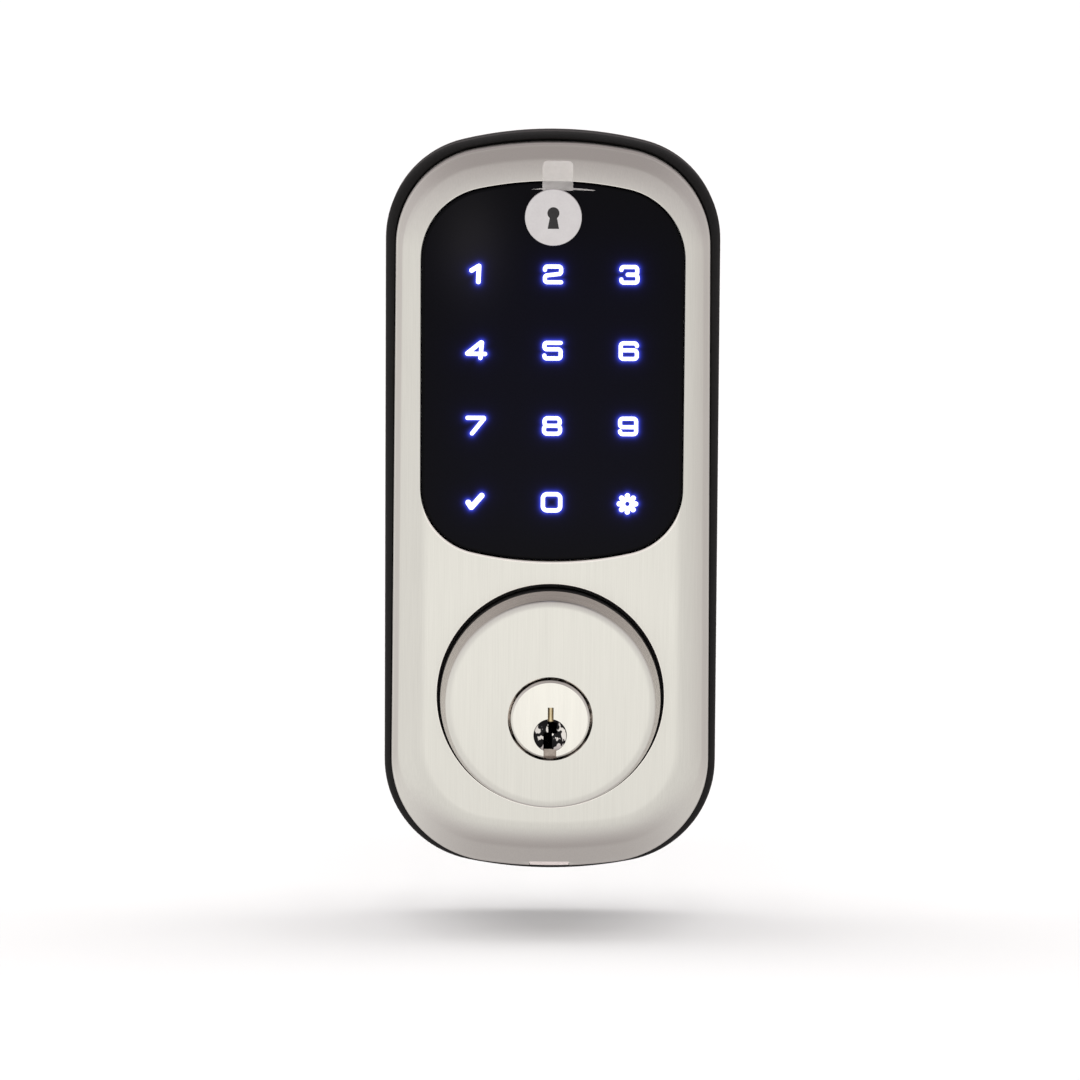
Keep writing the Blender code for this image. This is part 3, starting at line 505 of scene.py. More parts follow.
def bevelled(front, width, depth, rear):
    """(widening, depth) points of a hole's cutter that bevels the hole's front edge."""
    return [(2 * width, front - depth), (0, front + depth), (0, rear)]


def arched_hole(name, size, inset, edge):
    return arched(name, size, [(inset - wider, depth) for wider, depth in edge])


def round_hole(name, radius, edge, z):
    return turned(name, [(radius + wider, depth) for wider, depth in edge], 0, z)


def piece(obj, slot, *nodes, look=None, body="housing", weighted=True):
    """Paints a finished mesh, if it has no material yet, with its look or else the one named by its slot;
    shades it, ties it to its body and hides its CAD nodes.
    """
    if not obj.data.materials:
        painted(obj, look or slot)
    obj.data.shade_smooth()
    obj.data.set_sharp_from_angle(angle=SHARP_ANGLE)
    if weighted:
        normals = obj.modifiers.new("normals", "WEIGHTED_NORMAL")
        normals.keep_sharp = True
        normals.weight = 50
    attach(obj, body)
    if nodes:
        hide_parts(*nodes)


# ---- cover and housing


def roll():
    """The (side, top, bottom) insets and the depth of the rings that roll the cover's edge over to its face.

    A small round edge leads to an outer facet up to a soft crease, and then a long curve, flatter at the top.
    """
    start, crease, end = (0.3, 0.4, 0.5), (1.25, 2.55, 3.9), (6.4, 7.04, 9.28)
    start_depth, crease_depth, flat_depth = 4.15, 2.1, 1.35
    rows = []
    for cosine, sine in arc(0, 0, 1, 0, QUARTER, 8)[:-1]:
        depth = ROLL_DEPTH / MM - (ROLL_DEPTH / MM - start_depth) * sine
        rows.append((*(inset * (1.0001 - cosine) for inset in start), depth))
    for step in range(9):
        share = step / 8
        insets = (a + (b - a) * share for a, b in zip(start, crease))
        rows.append((*insets, start_depth + (crease_depth - start_depth) * share))
    for step in range(1, 23):
        share = step / 22
        insets = (b + (c - b) * share for b, c in zip(crease, end))
        rows.append((*insets, crease_depth * (1 - share) ** 2.1))
    rings = []
    for side, above, below, depth in rows:
        if depth < flat_depth:
            above = end[1] - (end[1] - crease[1]) * (depth / flat_depth) ** (1 / 1.6)
        elif depth < start_depth:
            above = start[1] + (crease[1] - start[1]) * (start_depth - depth) / (start_depth - flat_depth)
        rings.append((side * MM, above * MM, below * MM, COVER_FACE + depth * MM))
    return rings


def front_cover():
    """The rolled metal shell, with rounded edges at the keypad window and the cylinder's hole."""
    rings = [at_depth(arch(COVER, 0.2 * MM), COVER_REAR), at_depth(arch(COVER), COVER_REAR - 0.2 * MM)]
    for side, above, below, depth in roll():
        rings.append(at_depth(arch(COVER, side, above / side, below / side), depth))
    cover = painted(skin("cover_shell", rings), "satin_nickel")
    inside = [at_depth(arch(COVER, COVER_WALL), COVER_REAR + MM)]
    for cosine, sine in arc(0, 0, 1, 0, QUARTER, 18):
        inset = COVER_WALL + (ROLL_WIDTH - COVER_WALL) * (1 - cosine)
        depth = COVER_FACE + COVER_WALL + (ROLL_DEPTH - COVER_WALL) * (1 - sine)
        inside.append(at_depth(arch(COVER, inset, 1.1, 1.45), depth))
    cut(cover, "satin_nickel", skin("hollow", inside))
    rear = COVER_FACE + 3 * MM
    window = arched_hole("window", LENS, -0.2 * MM, bevelled(COVER_FACE, 0.32 * MM, 0.11 * MM, rear))
    hole = round_hole("hole", FACE_HOLE, bevelled(COVER_FACE, 0.22 * MM, 0.12 * MM, rear), FACE_Z - 0.16 * MM)
    # The window's and the hole's bevels take the brighter nickel: a painted highlight along these edges,
    # besides their real lower roughness.
    cut(cover, "nickel_painted_highlight", window, hole)
    half, front = 3.6 * MM, COVER_FACE + 2.9 * MM
    notch_low = (-half, front, COVER_TIP - 2 * MM)
    cut(cover, "satin_nickel", box("notch", notch_low, (half, front + 3.8 * MM, COVER_TIP + 1.0 * MM)))
    bores = []
    for node in ("terminal_left", "terminal_right"):
        _, _, (x, y, _) = box_of(node)
        bores.append(rod("contact_bore", (x, y, COVER_TIP - MM), (x, y, COVER_TIP + 3 * MM), 1.9 * MM))
    # The contact bores take the brighter nickel too: a painted highlight.
    cut(cover, "nickel_painted_highlight", *bores)
    piece(cover, "satin_nickel", "front_cover")


def notch_cover():
    """The pale slip that closes the notch under the cover, flush with the rolled edge. It glows faintly:
    painted light.
    """
    rows = [row for row in roll() if 0.2 * MM < row[2] < 2.1 * MM]
    rings = []
    for step in range(15):
        x = (step / 2 - 3.5) * MM
        bottom = COVER_TIP + x * x / (2 * COVER.bottom.crown)
        outer, inner = (
            [(x, depth + sunk / 2, bottom + below + sunk) for _, _, below, depth in rows]
            for sunk in (0.02 * MM, 0.5 * MM)
        )
        rings.append(outer + inner[::-1])
    piece(skin("notch_slip", rings), "badge_aluminium", look="pale_slip_painted_glow")


def rear_housing():
    """The black tray, with a parting groove, a label recess, a cable channel and the mould's pin marks."""
    seam = HOUSING_REAR - 3.3 * MM
    groove = 0.2 * MM
    profile = [
        (4 * MM, HOUSING_REAR, 0), (0, HOUSING_REAR, 0.6 * MM), (0, seam + groove, 0), (groove, seam, 0),
        (groove, seam - 0.25 * MM, 0), (0, seam - 0.45 * MM, 0), (0, HOUSING_RIM, 1.25 * MM),
        (1.4 * MM, HOUSING_RIM, 0),
    ]
    tray = painted(arched("housing_tray", HOUSING, fillets(profile, 6)), "black_plastic")
    past = HOUSING_REAR + MM
    edge = 0.2 * MM
    rounded = [(1.5 * edge, -0.134 * edge), (0.5 * edge, 0.134 * edge), (0.134 * edge, 0.5 * edge), (0, edge)]
    rounded = [(wider, HOUSING_RIM + depth) for wider, depth in [*rounded, (0, 1.4 * MM)]]
    cutters = [
        arched_hole("rebate", COVER, -GAP, rounded),
        arched("cavity", COVER, [(COVER_WALL, HOUSING_RIM), (COVER_WALL, HOUSING_FLOOR)]),
        deep_rod("opening", 0, 0, HOUSING_FLOOR - MM, past, 24 * MM, 144),
        box("cable_way", (-9 * MM, HOUSING_FLOOR - MM, 10 * MM), (9 * MM, past, 27.1 * MM)),
    ]
    for low_z, high_z, half, radius, deep in ((62, 84, 15, 2.5, 0.35), (24, 40, 3.5, 3.2, 0.6)):
        corners = ((-half, low_z), (-half, high_z), (half, high_z), (half, low_z))
        corners = [(*corner, radius) for corner in corners]
        outline = fillets([(0, low_z, 0), *corners, (0, low_z, 0)], 8)[:-1]
        outline = [(x * MM, z * MM) for x, z in outline]
        bottom = at_depth([(x * 0.985, z) for x, z in outline], HOUSING_REAR - deep * MM)
        side = at_depth(outline, HOUSING_REAR - deep * MM * 0.4)
        cutters.append(skin("recess", [bottom, side, at_depth(outline, past)]))
    for x, z in ((-20, 88), (20, 88), (-20, 58), (20, 58), (0, 52), (0, 92)):
        mark = [(1.5 * MM, HOUSING_REAR - 0.12 * MM), (1.7 * MM, HOUSING_REAR + 0.2 * MM)]
        cutters.append(turned("pin_mark", mark, x * MM, z * MM, 48))
    cut(tray, "black_plastic", *cutters)
    for node in ("housing_screw_1", "housing_screw_2"):
        _, _, (x, _, z) = box_of(node)
        wide, end = 3.4 * MM, HOUSING_FLOOR + 1.5 * MM
        pillar = turned("pillar", [(wide, PLATE_REAR + GAP), (wide, end)], x, z, 64)
        cut(tray, "black_plastic", pillar, operation="UNION")
        bore = turned("bore", [(1.5 * MM, PLATE_REAR - MM), (1.5 * MM, past)], x, z, 48)
        sink = turned("sink", [(2.7 * MM, HOUSING_REAR - 1.7 * MM), (2.7 * MM, past)], x, z, 64)
        cut(tray, "black_plastic", bore, sink)
    piece(tray, "black_plastic", "rear_housing")


def door_gasket():
    """A soft ring with a rounded lip towards the door."""
    front, rear = HOUSING_REAR + 0.01 * MM, depths_of("door_gasket")[1]
    inner, middle, outer = 4.0 * MM, 2.5 * MM, 1.0 * MM
    profile = [
        (middle, front, 0), (outer, front, 0.2 * MM), (outer, rear, 0.45 * MM),
        (inner, rear, 0.45 * MM), (inner, front, 0.2 * MM), (middle, front, 0),
    ]
    ring = outward(arched("gasket_ring", HOUSING, fillets(profile, 4), False), weld=True)
    piece(ring, "gasket_rubber", "door_gasket")


# ---- symbols

KEY_COLUMNS = (-13.4, 0.0, 13.4)
KEY_ROWS = (78.15, 64.7, 51.35, 37.75)
KEYS = [
    (label, x, z)
    for z, labels in zip(KEY_ROWS, ("123", "456", "789", "v0*"))
    for label, x in zip(labels, KEY_COLUMNS)
]
KEY_NAMES = {"v": "check", "*": "gear"}
W, H = 1.42, 1.38
# Each stroke is its corners in mm from the symbol's centre, their radius, and True where it is closed.
STROKES = {
    "1": [([(-0.88, 0.62), (0.42, 1.4), (0.42, 1.2)], 0.02), ([(0.42, 1.38), (0.3, -1.38)], 0)],
    "2": [([(-W, 0.78), (-W, H), (W, H), (W, 0.12), (-W, -0.22), (-W, -H), (W, -H)], 0.45)],
    "3": [
        ([(-W, 0.86), (-W, H), (W - 0.06, H), (W - 0.06, 0.04), (-0.3, 0.04)], 0.45),
        ([(-0.3, 0.0), (W, 0.0), (W, -H), (-W, -H), (-W, -0.82)], 0.45),
    ],
    "4": [([(0.72, -1.36), (0.98, 1.36), (0.8, 1.36), (-1.66, -0.62), (1.52, -0.66)], 0.04)],
    "5": [([(W, H), (-W, H), (-W, 0.24), (W, 0.24), (W, -H), (-W, -H), (-W, -0.86)], 0.4)],
    "6": [([(W, 0.9), (W, H), (-W, H), (-W, -H), (W, -H), (W, 0.14), (-W, 0.14)], 0.5)],
    "7": [([(-1.5, 1.36), (1.4, 1.36), (1.4, 1.2), (-0.7, -1.4)], 0.08)],
    "8": [
        ([(-1.34, H), (1.34, H), (1.34, 0.04), (-1.34, 0.04)], 0.55, True),
        ([(-W, 0.04), (W, 0.04), (W, -H), (-W, -H)], 0.55, True),
    ],
    "9": [([(-W, -0.86), (-W, -H), (W, -H), (W, H), (-W, H), (-W, -0.14), (W, -0.14)], 0.5)],
    "0": [([(-1.53, 1.45), (1.53, 1.45), (1.53, -1.45), (-1.53, -1.45)], 0.75, True)],
    "v": [([(-1.32, -0.12), (-0.78, -0.98), (1.05, 1.12)], 0.05)],
}
HALF_STROKE = {"0": 0.37, "v": 0.48, "1": 0.4, "4": 0.37, "7": 0.36}
# Red, green and blue light beside a symbol, each in three parts, and over how many mm the parts fade.
GLOW = ((0.055, 0.005, 0.0004), (0.085, 0.004, 0.0004), (0.95, 0.045, 0.0044))
GLOW_FADES = (0.24, 0.75, 4.5)


def rounded_path(corners, radius, closed=False):
    """A polyline with its corners rounded."""
    first, *inner, last = corners
    if closed:
        first = last = tuple((a + b) / 2 for a, b in zip(first, last))
        inner = corners
    return fillets([(*first, 0), *((*corner, radius) for corner in inner), (*last, 0)], 6)


def to_path(x, z, path):
    """The distance from every (x, z) to the path."""
    nearest = np.full(x.shape, 1e9)
    for (x0, z0), (x1, z1) in zip(path, path[1:]):
        dx, dz = x1 - x0, z1 - z0
        along = np.clip(((x - x0) * dx + (z - z0) * dz) / (dx * dx + dz * dz + 1e-12), 0, 1)
        nearest = np.minimum(nearest, np.hypot(x - x0 - along * dx, z - z0 - along * dz))
    return nearest


def gear(x, z):
    """The signed distance to the gear symbol: eight round petals on a disc with a hole."""
    z = z + 0.2
    body = np.hypot(x, z) - 1.3
    for petal_x, petal_z in circle(0, 0, 1.44, 8):
        body = np.minimum(body, np.hypot(x - petal_x, z - petal_z) - 0.46)
    return np.maximum(body, 0.4 - np.hypot(x, z))


def symbol_distance(label, x, z):
    """The signed distance in mm to a symbol's edge, below 0 inside it. The symbol's centre is at (0, 0)."""
    if label == "*":
        return gear(x, z)
    strokes = [to_path(x, z, rounded_path(*stroke)) for stroke in STROKES[label]]
    return np.min(strokes, axis=0) - HALF_STROKE.get(label, 0.35)


def filled(name, values, across, up, depth):
    """A flat sheet at a depth, where a grid of distances in mm is below 0. Its edge follows their zero."""
    points, faces, known = [], [], {}

    def point(key, x, z):
        if key not in known:
            known[key] = len(points)
            points.append((x * MM, depth, z * MM))
        return known[key]

    rows, columns = values.shape
    for r in range(rows - 1):
        for c in range(columns - 1):
            corners = ((r, c), (r, c + 1), (r + 1, c + 1), (r + 1, c))
            within = [values[corner] < 0 for corner in corners]
            if not any(within):
                continue
            loop = []
            for i in range(4):
                a, b = corners[i], corners[(i + 1) % 4]
                if within[i]:
                    loop.append(point(a, across[a[1]], up[a[0]]))
                if within[i] != within[(i + 1) % 4]:
                    share = values[a] / (values[a] - values[b])
                    x = across[a[1]] + (across[b[1]] - across[a[1]]) * share
                    z = up[a[0]] + (up[b[0]] - up[a[0]]) * share
                    loop.append(point((min(a, b), max(a, b)), x, z))
            if len(loop) > 2:
                faces.append(tuple(loop))
    return mesh_of(name, points, faces)


def key_symbols():
    """The twelve lit symbols, each a sheet of light in the lens's face."""
    grid = np.arange(-2.45, 2.451, 0.07)
    x, z = np.meshgrid(grid, grid)
    for label, column, row in KEYS:
        name = f"symbol_{KEY_NAMES.get(label, label)}"
        sheet = filled(name, symbol_distance(label, x, z), grid + column, grid + row, LENS_FRONT - 0.02 * MM)
        piece(sheet, "lit_symbol", weighted=False)


def outline_distance(outline, x, z):
    """The signed distance in mm to a closed outline given in metres, below 0 inside."""
    loop = [(px / MM, pz / MM) for px, pz in outline]
    nearest = to_path(x, z, [*loop, loop[0]])
    inside = np.zeros(x.shape, bool)
    for (x0, z0), (x1, z1) in zip(loop, [*loop[1:], loop[0]]):
        if z0 != z1:
            inside ^= ((z0 > z) != (z1 > z)) & (x < (x1 - x0) * (z - z0) / (z1 - z0) + x0)
    return np.where(inside, -nearest, nearest)


def glow_at(x, z):
    """What shines in the glass at every (x, z): the symbols' glow and a faint brownish painted reflection at
    the upper left.
    """
    glow = np.zeros((len(x), 4), np.float32)
    glow[:, 3] = 1
    for label, column, row in KEYS:
        away = np.maximum(symbol_distance(label, x - column, z - row), 0)
        for channel, parts in enumerate(GLOW):
            glow[:, channel] += sum(part * np.exp(-away / fade) for part, fade in zip(parts, GLOW_FADES))
    # A painted reflection: a faint brownish glow over the glass's upper left.
    reflection_x, reflection_z = LENS.top.half / MM * -0.62, LENS.top.tip / MM - 11
    painted_reflection = np.exp(-(((x - reflection_x) / 5.5) ** 2) - (((z - reflection_z) / 9) ** 2))
    for channel, level in enumerate((0.0095, 0.0088, 0.0090)):
        glow[:, channel] += level * painted_reflection
    return glow


def touch_lens():
    """The black glass, with a rounded edge. Its face is a fine sheet that carries the symbols' glow and a
    painted reflection.
    """
    inner = 1.5 * MM
    profile = [(inner, LENS_REAR, 0), (0, LENS_REAR, 0.15 * MM)]
    profile += [(0, LENS_FRONT, 0.45 * MM), (inner, LENS_FRONT, 0)]
    piece(arched("lens_glass", LENS, fillets(profile)), "lens_black", "touch_lens")

    across = np.arange(-24, 24.01, 0.25)
    up = np.arange(LENS.bottom.tip / MM - 1, LENS.top.tip / MM + 1, 0.25)
    outline = outline_distance(arch(LENS, 0.6 * MM), *np.meshgrid(across, up))
    face = filled("lens_face", outline, across, up, LENS_FRONT - 0.006 * MM)
    places = np.zeros(len(face.data.vertices) * 3, np.float32)
    face.data.vertices.foreach_get("co", places)
    places = places.reshape(-1, 3) / MM
    attribute = face.data.attributes.new("glow", "FLOAT_COLOR", "POINT")
    attribute.data.foreach_set("color", glow_at(places[:, 0], places[:, 2]).ravel())
    piece(face, "lens_black", weighted=False)


def badge():
    """A satin disc without a word, and a plain keyhole printed on it."""
    low, high, (x, _, z) = box_of("badge_disc")
    radius, centre = (high.z - low.z) / 2, 0.001 * MM
    profile = [(centre, high.y, 0), (radius, high.y, 0.03 * MM)]
    profile += [(radius, low.y, 0.18 * MM), (centre, low.y, 0)]
    piece(turned("badge", fillets(profile), x, z, 128), "badge_aluminium", "badge_disc")
    grid = np.arange(-2.6, 2.601, 0.06)
    gx, gz = np.meshgrid(grid, grid)
    eye = np.hypot(gx, gz - 0.75) - 1.05
    skirt = np.maximum(np.abs(gx) - (0.62 - 0.19 * gz), np.abs(gz + 0.75) - 1.25) * 0.95
    mark = filled("badge_keyhole", np.minimum(eye, skirt), grid + x / MM, grid + z / MM, low.y - 0.004 * MM)
    piece(mark, "badge_aluminium", look="badge_print", weighted=False)


def film_tab():
    """The pull tab of the lens's film, and the film's upper edge that lifts off the glass beside it."""
    low, high, (middle, _, _) = box_of("film_tab")
    middle /= MM
    half = (high.x - low.x) / 2 / MM
    bottom, top = low.z / MM - 0.4, high.z / MM
    across = np.arange(middle - 7, middle + 7.01, 0.12)
    up = np.arange(bottom - 1, top + 0.5, 0.12)
    x, z = np.meshgrid(across, up)
    from_middle = np.abs(x - middle)
    radius = 0.95
    dx = from_middle - (half - radius)
    dz = np.abs(z - (bottom + top) / 2) - ((top - bottom) / 2 - radius)
    tab = np.hypot(np.maximum(dx, 0), np.maximum(dz, 0)) + np.minimum(np.maximum(dx, dz), 0) - radius
    root = np.maximum(from_middle - half, np.abs(z - bottom - 1.0) - 1.0)
    sliver_left, sliver_long = middle - 4.6, 11.9
    thick = 0.17 * np.sin(np.pi * np.clip((x - sliver_left) / sliver_long, 0, 1)) ** 0.7 + 0.001
    bow = bottom + 0.34 - 0.0072 * (x - middle) ** 2
    beside = np.abs(x - sliver_left - sliver_long / 2) - sliver_long / 2
    sliver = np.maximum(np.abs(z - bow) - thick, beside)
    sheet = filled("film_tab_sheet", np.minimum(np.minimum(tab, root), sliver), across, up, low.y)
    for vertex in sheet.data.vertices:
        rise = (vertex.co.z - low.z) / (high.z - low.z)
        vertex.co.y = low.y + (0.1 - 0.1 * math.cos(max(0.0, rise) * 2.2)) * MM
    piece(sheet, "clear_film", "film_tab", weighted=False)


# ---- cylinder


def cylinder_face():
    """The raised brushed face, with a rounded shoulder, a tapered side and the plug's eccentric hole."""
    profile = [(FACE_FLAT - 0.25 * MM, FACE_FRONT), (FACE_FLAT, FACE_FRONT)]
    turn = 0
    for degrees in (3, 6, 9, 12, 15, 20, 26, 33, 41, 50, 59, 67, 73, 78):
        before, turn = turn, math.radians(degrees)
        bend = (3.9 if degrees < 16 else 0.45) * MM
        radius = profile[-1][0] + bend * (math.sin(turn) - math.sin(before))
        profile.append((radius, profile[-1][1] + bend * (math.cos(before) - math.cos(turn))))
    foot = FACE_RADIUS - 0.11 * MM
    inner = foot - 0.5 * MM
    profile.append((radius + (foot - radius) * 0.1, profile[-1][1] + (FACE_FOOT - profile[-1][1]) * 0.1))
    profile += [(foot, FACE_FOOT), (inner, FACE_FOOT + 0.05 * MM), (inner, FACE_REAR)]
    face = painted(turned("cylinder_rose", profile, 0, FACE_SEEN_Z, 192), "satin_nickel")
    # Painted shade: the tapered side faces take a darker, browner copy of the nickel.
    face.data.materials.append(LOOKS["side_nickel_painted_shade"])
    for polygon in face.data.polygons:
        if abs(polygon.normal.y) < 0.3:
            polygon.material_index = 1
    inner = BODY_RADIUS + 0.6 * MM
    cup = turned("cup", [(inner, BODY_FRONT - GAP), (inner, FACE_REAR + MM)], 0, FACE_Z, 96)
    cut(face, "satin_nickel", cup)
    edge = bevelled(FACE_FRONT, 0.16 * MM, 0.12 * MM, BODY_FRONT + MM)
    # The plug hole's edge is mottled darker, with near-black patches: painted shade.
    cut(face, "hole_edge_painted_shade", round_hole("plug_hole", FLANGE + 0.25 * MM, edge, 0.1 * MM))
    piece(face, "satin_nickel", "cylinder_face")

    inner, front = foot - 0.4 * MM, FACE_FOOT + 0.15 * MM
    profile = [(inner, front), (foot + 0.02 * MM, front)]
    profile += [(FACE_RADIUS, COVER_FACE), (FACE_RADIUS, FACE_REAR), (inner, FACE_REAR)]
    piece(tube("face_band", profile, 0, FACE_SEEN_Z, 192), "gasket_rubber", look="black_plastic")

    low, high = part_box("collar_seal")
    inner, outer = FACE_RADIUS + 0.05 * MM, high.x + FACE_SEEN_Z - FACE_Z
    profile = [(outer, low.y), (outer, high.y), (inner, high.y), (inner, low.y)]
    piece(tube("face_seal", profile, 0, FACE_SEEN_Z, 96), "gasket_rubber", "collar_seal")


def key_plug():
    """The plug's nose with a bevelled rim, a polished dish at the key's entry and the stepped keyway."""
    edge = 0.48 * MM
    radius = FLANGE - 0.9 * MM
    flange_rear = BODY_FRONT - 0.4 * MM
    profile = [
        (FLANGE - edge - 0.1 * MM, PLUG_FRONT), (FLANGE - edge, PLUG_FRONT),
        (FLANGE - 0.10 * MM, PLUG_FRONT + 0.30 * MM), (FLANGE, PLUG_FRONT + 0.45 * MM), (FLANGE, flange_rear),
        (radius, flange_rear), (radius, PLUG_REAR - 0.3 * MM), (radius - 0.3 * MM, PLUG_REAR),
    ]
    plug = painted(turned("plug", profile), "plug_nickel")
    bowl_front = PLUG_FRONT - 0.28 * MM
    quadrant = arc(0, 0, 1, math.radians(10), math.radians(70), 8)
    bowl = [(3.05 * MM * cosine, bowl_front + 1.15 * MM * sine) for cosine, sine in quadrant]
    cut(plug, "polished_dish", turned("dish", bowl, 0, -2.8 * MM, 96))
    rear = PLUG_REAR - 5.9 * MM
    # The slots are painted dark as shade: near black, dark brown in the upper slot, and grey-brown on the
    # shallow lower slot that stands for the deep keyway.
    for left, right, low, high, deeper, look in (
        (-0.43, 0.58, -0.7, 2.2, 0.0, "upper_slot_painted_shade"),
        (-0.35, 1.20, -2.6, -0.5, 0.01, "recess_painted_shade"),
        (-1.20, 0.35, -5.5, -2.4, 0.02, "recess_painted_shade"),
        (-1.15, 1.10, -6.95, -5.35, -26.3, "lower_slot_painted_shade"),
    ):
        start = (left * MM, PLUG_FRONT - MM, low * MM)
        cut(plug, look, box("slot", start, (right * MM, rear + deeper * MM, high * MM)))
    # The pins' chambers are painted near black: painted shade.
    for index in PINS:
        _, _, (_, y, _) = box_of(f"key_pin_{index}")
        cut(plug, "recess_painted_shade", rod("chamber", (0, y, -1.4 * MM), (0, y, 9 * MM), CHAMBER_RADIUS))
    reach = 5.25 * MM
    lug = 1.4 * MM
    lug_angle = math.asin(lug / reach)
    outline = []
    for turn, side in ((0, -1), (math.pi, 1)):
        outline += arc(0, 0, reach, turn - lug_angle, QUARTER + 2 * lug_angle, 24)
        outline.append((side * lug, -side * lug))
    pocket = [at_depth(outline, PLUG_REAR - 2.7 * MM), at_depth(outline, PLUG_REAR + MM)]
    # The pocket is painted near black: painted shade.
    cut(plug, "recess_painted_shade", skin("pocket", pocket))
    piece(plug, "plug_nickel", "key_plug", body="plug")


def pin_tip():
    """The first key pin's worn end, shown near the keyway's mouth."""
    grid = np.arange(-0.6, 0.601, 0.04)
    rise = np.arange(-1.5, 1.501, 0.04)
    gx, gz = np.meshgrid(grid, rise)
    taper = 0.37 - 0.05 * (gz + 1.3)
    leaf = np.hypot(np.maximum(np.abs(gx) - taper + 0.3, 0), np.maximum(gz - 1.0, 0)) - 0.3
    middle = 0.09
    leaf = np.maximum(leaf, -1.3 - gz)
    tip = filled("pin_tip_face", leaf, grid + middle, rise + 0.82, PLUG_FRONT + 1.1 * MM)
    for vertex in tip.data.vertices:
        vertex.co.y += ((vertex.co.x / MM - middle) / 0.5) ** 2 * 0.25 * MM
    thick = tip.modifiers.new("thick", "SOLIDIFY")
    thick.thickness = 0.3 * MM
    thick.offset = 1
    piece(settled(tip), "brass", look="worn_brass", body="key_pin_1_body")


def cylinder_body():
    """The brass body with its two ears, the plug's bore and the pins' chambers under their cap."""
    centre = 0.5 * MM
    profile = [
        (centre, BODY_FRONT, 0), (BODY_RADIUS, BODY_FRONT, 0.5 * MM),
        (BODY_RADIUS, BODY_REAR, 0.6 * MM), (centre, BODY_REAR, 0),
    ]
    body = painted(turned("brass_body", fillets(profile), 0, FACE_Z), "machined_brass")
    front, rear = PLATE_FRONT - GAP - 2.2 * MM, PLATE_FRONT - GAP
    outline, cutters = [], []
    for angle in (math.radians(45), math.radians(225)):
        x, z = 17.5 * MM * math.cos(angle), FACE_Z + 17.5 * MM * math.sin(angle)
        outline += arc(x, z, 4 * MM, angle - QUARTER, math.pi, 24)
        cutters.append(deep_rod("ear_bore", x, z, front - MM, rear + MM, 1.45 * MM))
    ears = skin("ears", [at_depth(outline, front), at_depth(outline, rear)])
    cut(body, "machined_brass", ears, operation="UNION")
    cutters.append(deep_rod("plug_bore", 0, 0, BODY_FRONT - MM, BODY_REAR + MM, 6.35 * MM, 96))
    low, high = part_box("chamber_cap")
    top, half = low.z - GAP, 1.9 * MM
    slot_end = (half, high.y + GAP, FACE_Z + BODY_RADIUS + MM)
    cutters.append(box("cap_slot", (-half, low.y - GAP, top), slot_end))
    for index in PINS:
        _, _, (_, y, _) = box_of(f"driver_pin_{index}")
        cutters.append(rod("chamber", (0, y, 3 * MM), (0, y, top + MM), CHAMBER_RADIUS, 32))
    for cutter in cutters:
        cut(body, "machined_brass", cutter)
    # The body's front faces are mottled near black: painted shade in the gap behind the rose.
    body.data.materials.append(LOOKS["body_front_painted_shade"])
    for face in body.data.polygons:
        if face.normal.y < -0.3 and face.center.y < BODY_FRONT + MM:
            face.material_index = len(body.data.materials) - 1
    piece(body, "brass", "cylinder_body")


def plug_cap():
    """The notched brass cap that holds the plug in the body."""
    low, high, (_, middle, _) = box_of("plug_cap")
    rear, outer, seat = high.y, high.x, PLUG_REAR + GAP
    profile = [
        (outer, middle, 0), (outer, rear, 0.5 * MM), (3.9 * MM, rear, 0.3 * MM), (3.9 * MM, seat, 0),
        (6.4 * MM, seat, 0), (6.4 * MM, low.y, 0.15 * MM), (outer, low.y, 0.3 * MM), (outer, middle, 0),
    ]
    ring = painted(tube("retaining_cap", fillets(profile)[:-1], segments=96), "brass")
    notches = arc(0, 0, outer + 0.9 * MM, math.pi / 8, TURN, 8)[:-1]
    cut(ring, "brass", *(deep_rod("notch", x, z, low.y - MM, rear + MM, 1.35 * MM, 32) for x, z in notches))
    piece(ring, "brass", "plug_cap", body="plug")


def posts():
    """The two flanged posts, each with a threaded bore for the interior unit's screw."""
    for name in ("mounting_post_left", "mounting_post_right"):
        low, high, (x, _, _) = box_of(name)
        reach = (high.x - low.x) / 2
        flange, shank, pitch = PLATE_FRONT - GAP, 3.4 * MM, 0.8 * MM
        profile = [
            (0.4 * MM, low.y, 0), (reach, low.y, 0.4 * MM), (reach, flange, 0.15 * MM), (shank, flange, 0),
            (shank, high.y, 0.5 * MM), (2.45 * MM, high.y, 0), (2.1 * MM, high.y - 0.5 * MM, 0),
        ]
        post = fillets(profile)
        for turn in range(16):
            start = high.y - 0.7 * MM - pitch * turn
            post += [(2.15 * MM, start), (2.0 * MM, start - pitch / 2)]
        post += [(2.0 * MM, -4.0 * MM), (0.3 * MM, -5.2 * MM)]
        piece(turned(name.replace("mounting", "threaded"), post, x, 0, 72), "zinc_steel", name)


def tailpiece():
    """The flat blade that drives the bolt, with a wide head in the plug's pocket and bevelled edges."""
    low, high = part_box("tailpiece")
    head_front, half_thick, half_head = low.y, high.x, high.z
    head_rear, half_blade, taper, edge = PLUG_REAR - 0.1 * MM, 3.25 * MM, 1.2 * MM, 0.35 * MM
    outline = [(head_front, half_head), (head_rear, half_head), (head_rear, half_blade)]
    outline += [(high.y - taper, half_blade), (high.y, half_blade - taper)]
    outline += [(y, -z) for y, z in outline[::-1]]
    slices = []
    flat = half_thick - edge
    for x, inset in ((-half_thick, edge), (-flat, 0), (flat, 0), (half_thick, edge)):
        smaller = (half_head - inset) / half_head
        slices.append([(x, min(max(y, head_front + inset), high.y - inset), z * smaller) for y, z in outline])
    piece(skin("tail_blade", slices), "zinc_steel", "tailpiece", look="rolled_zinc_steel", body="tail")


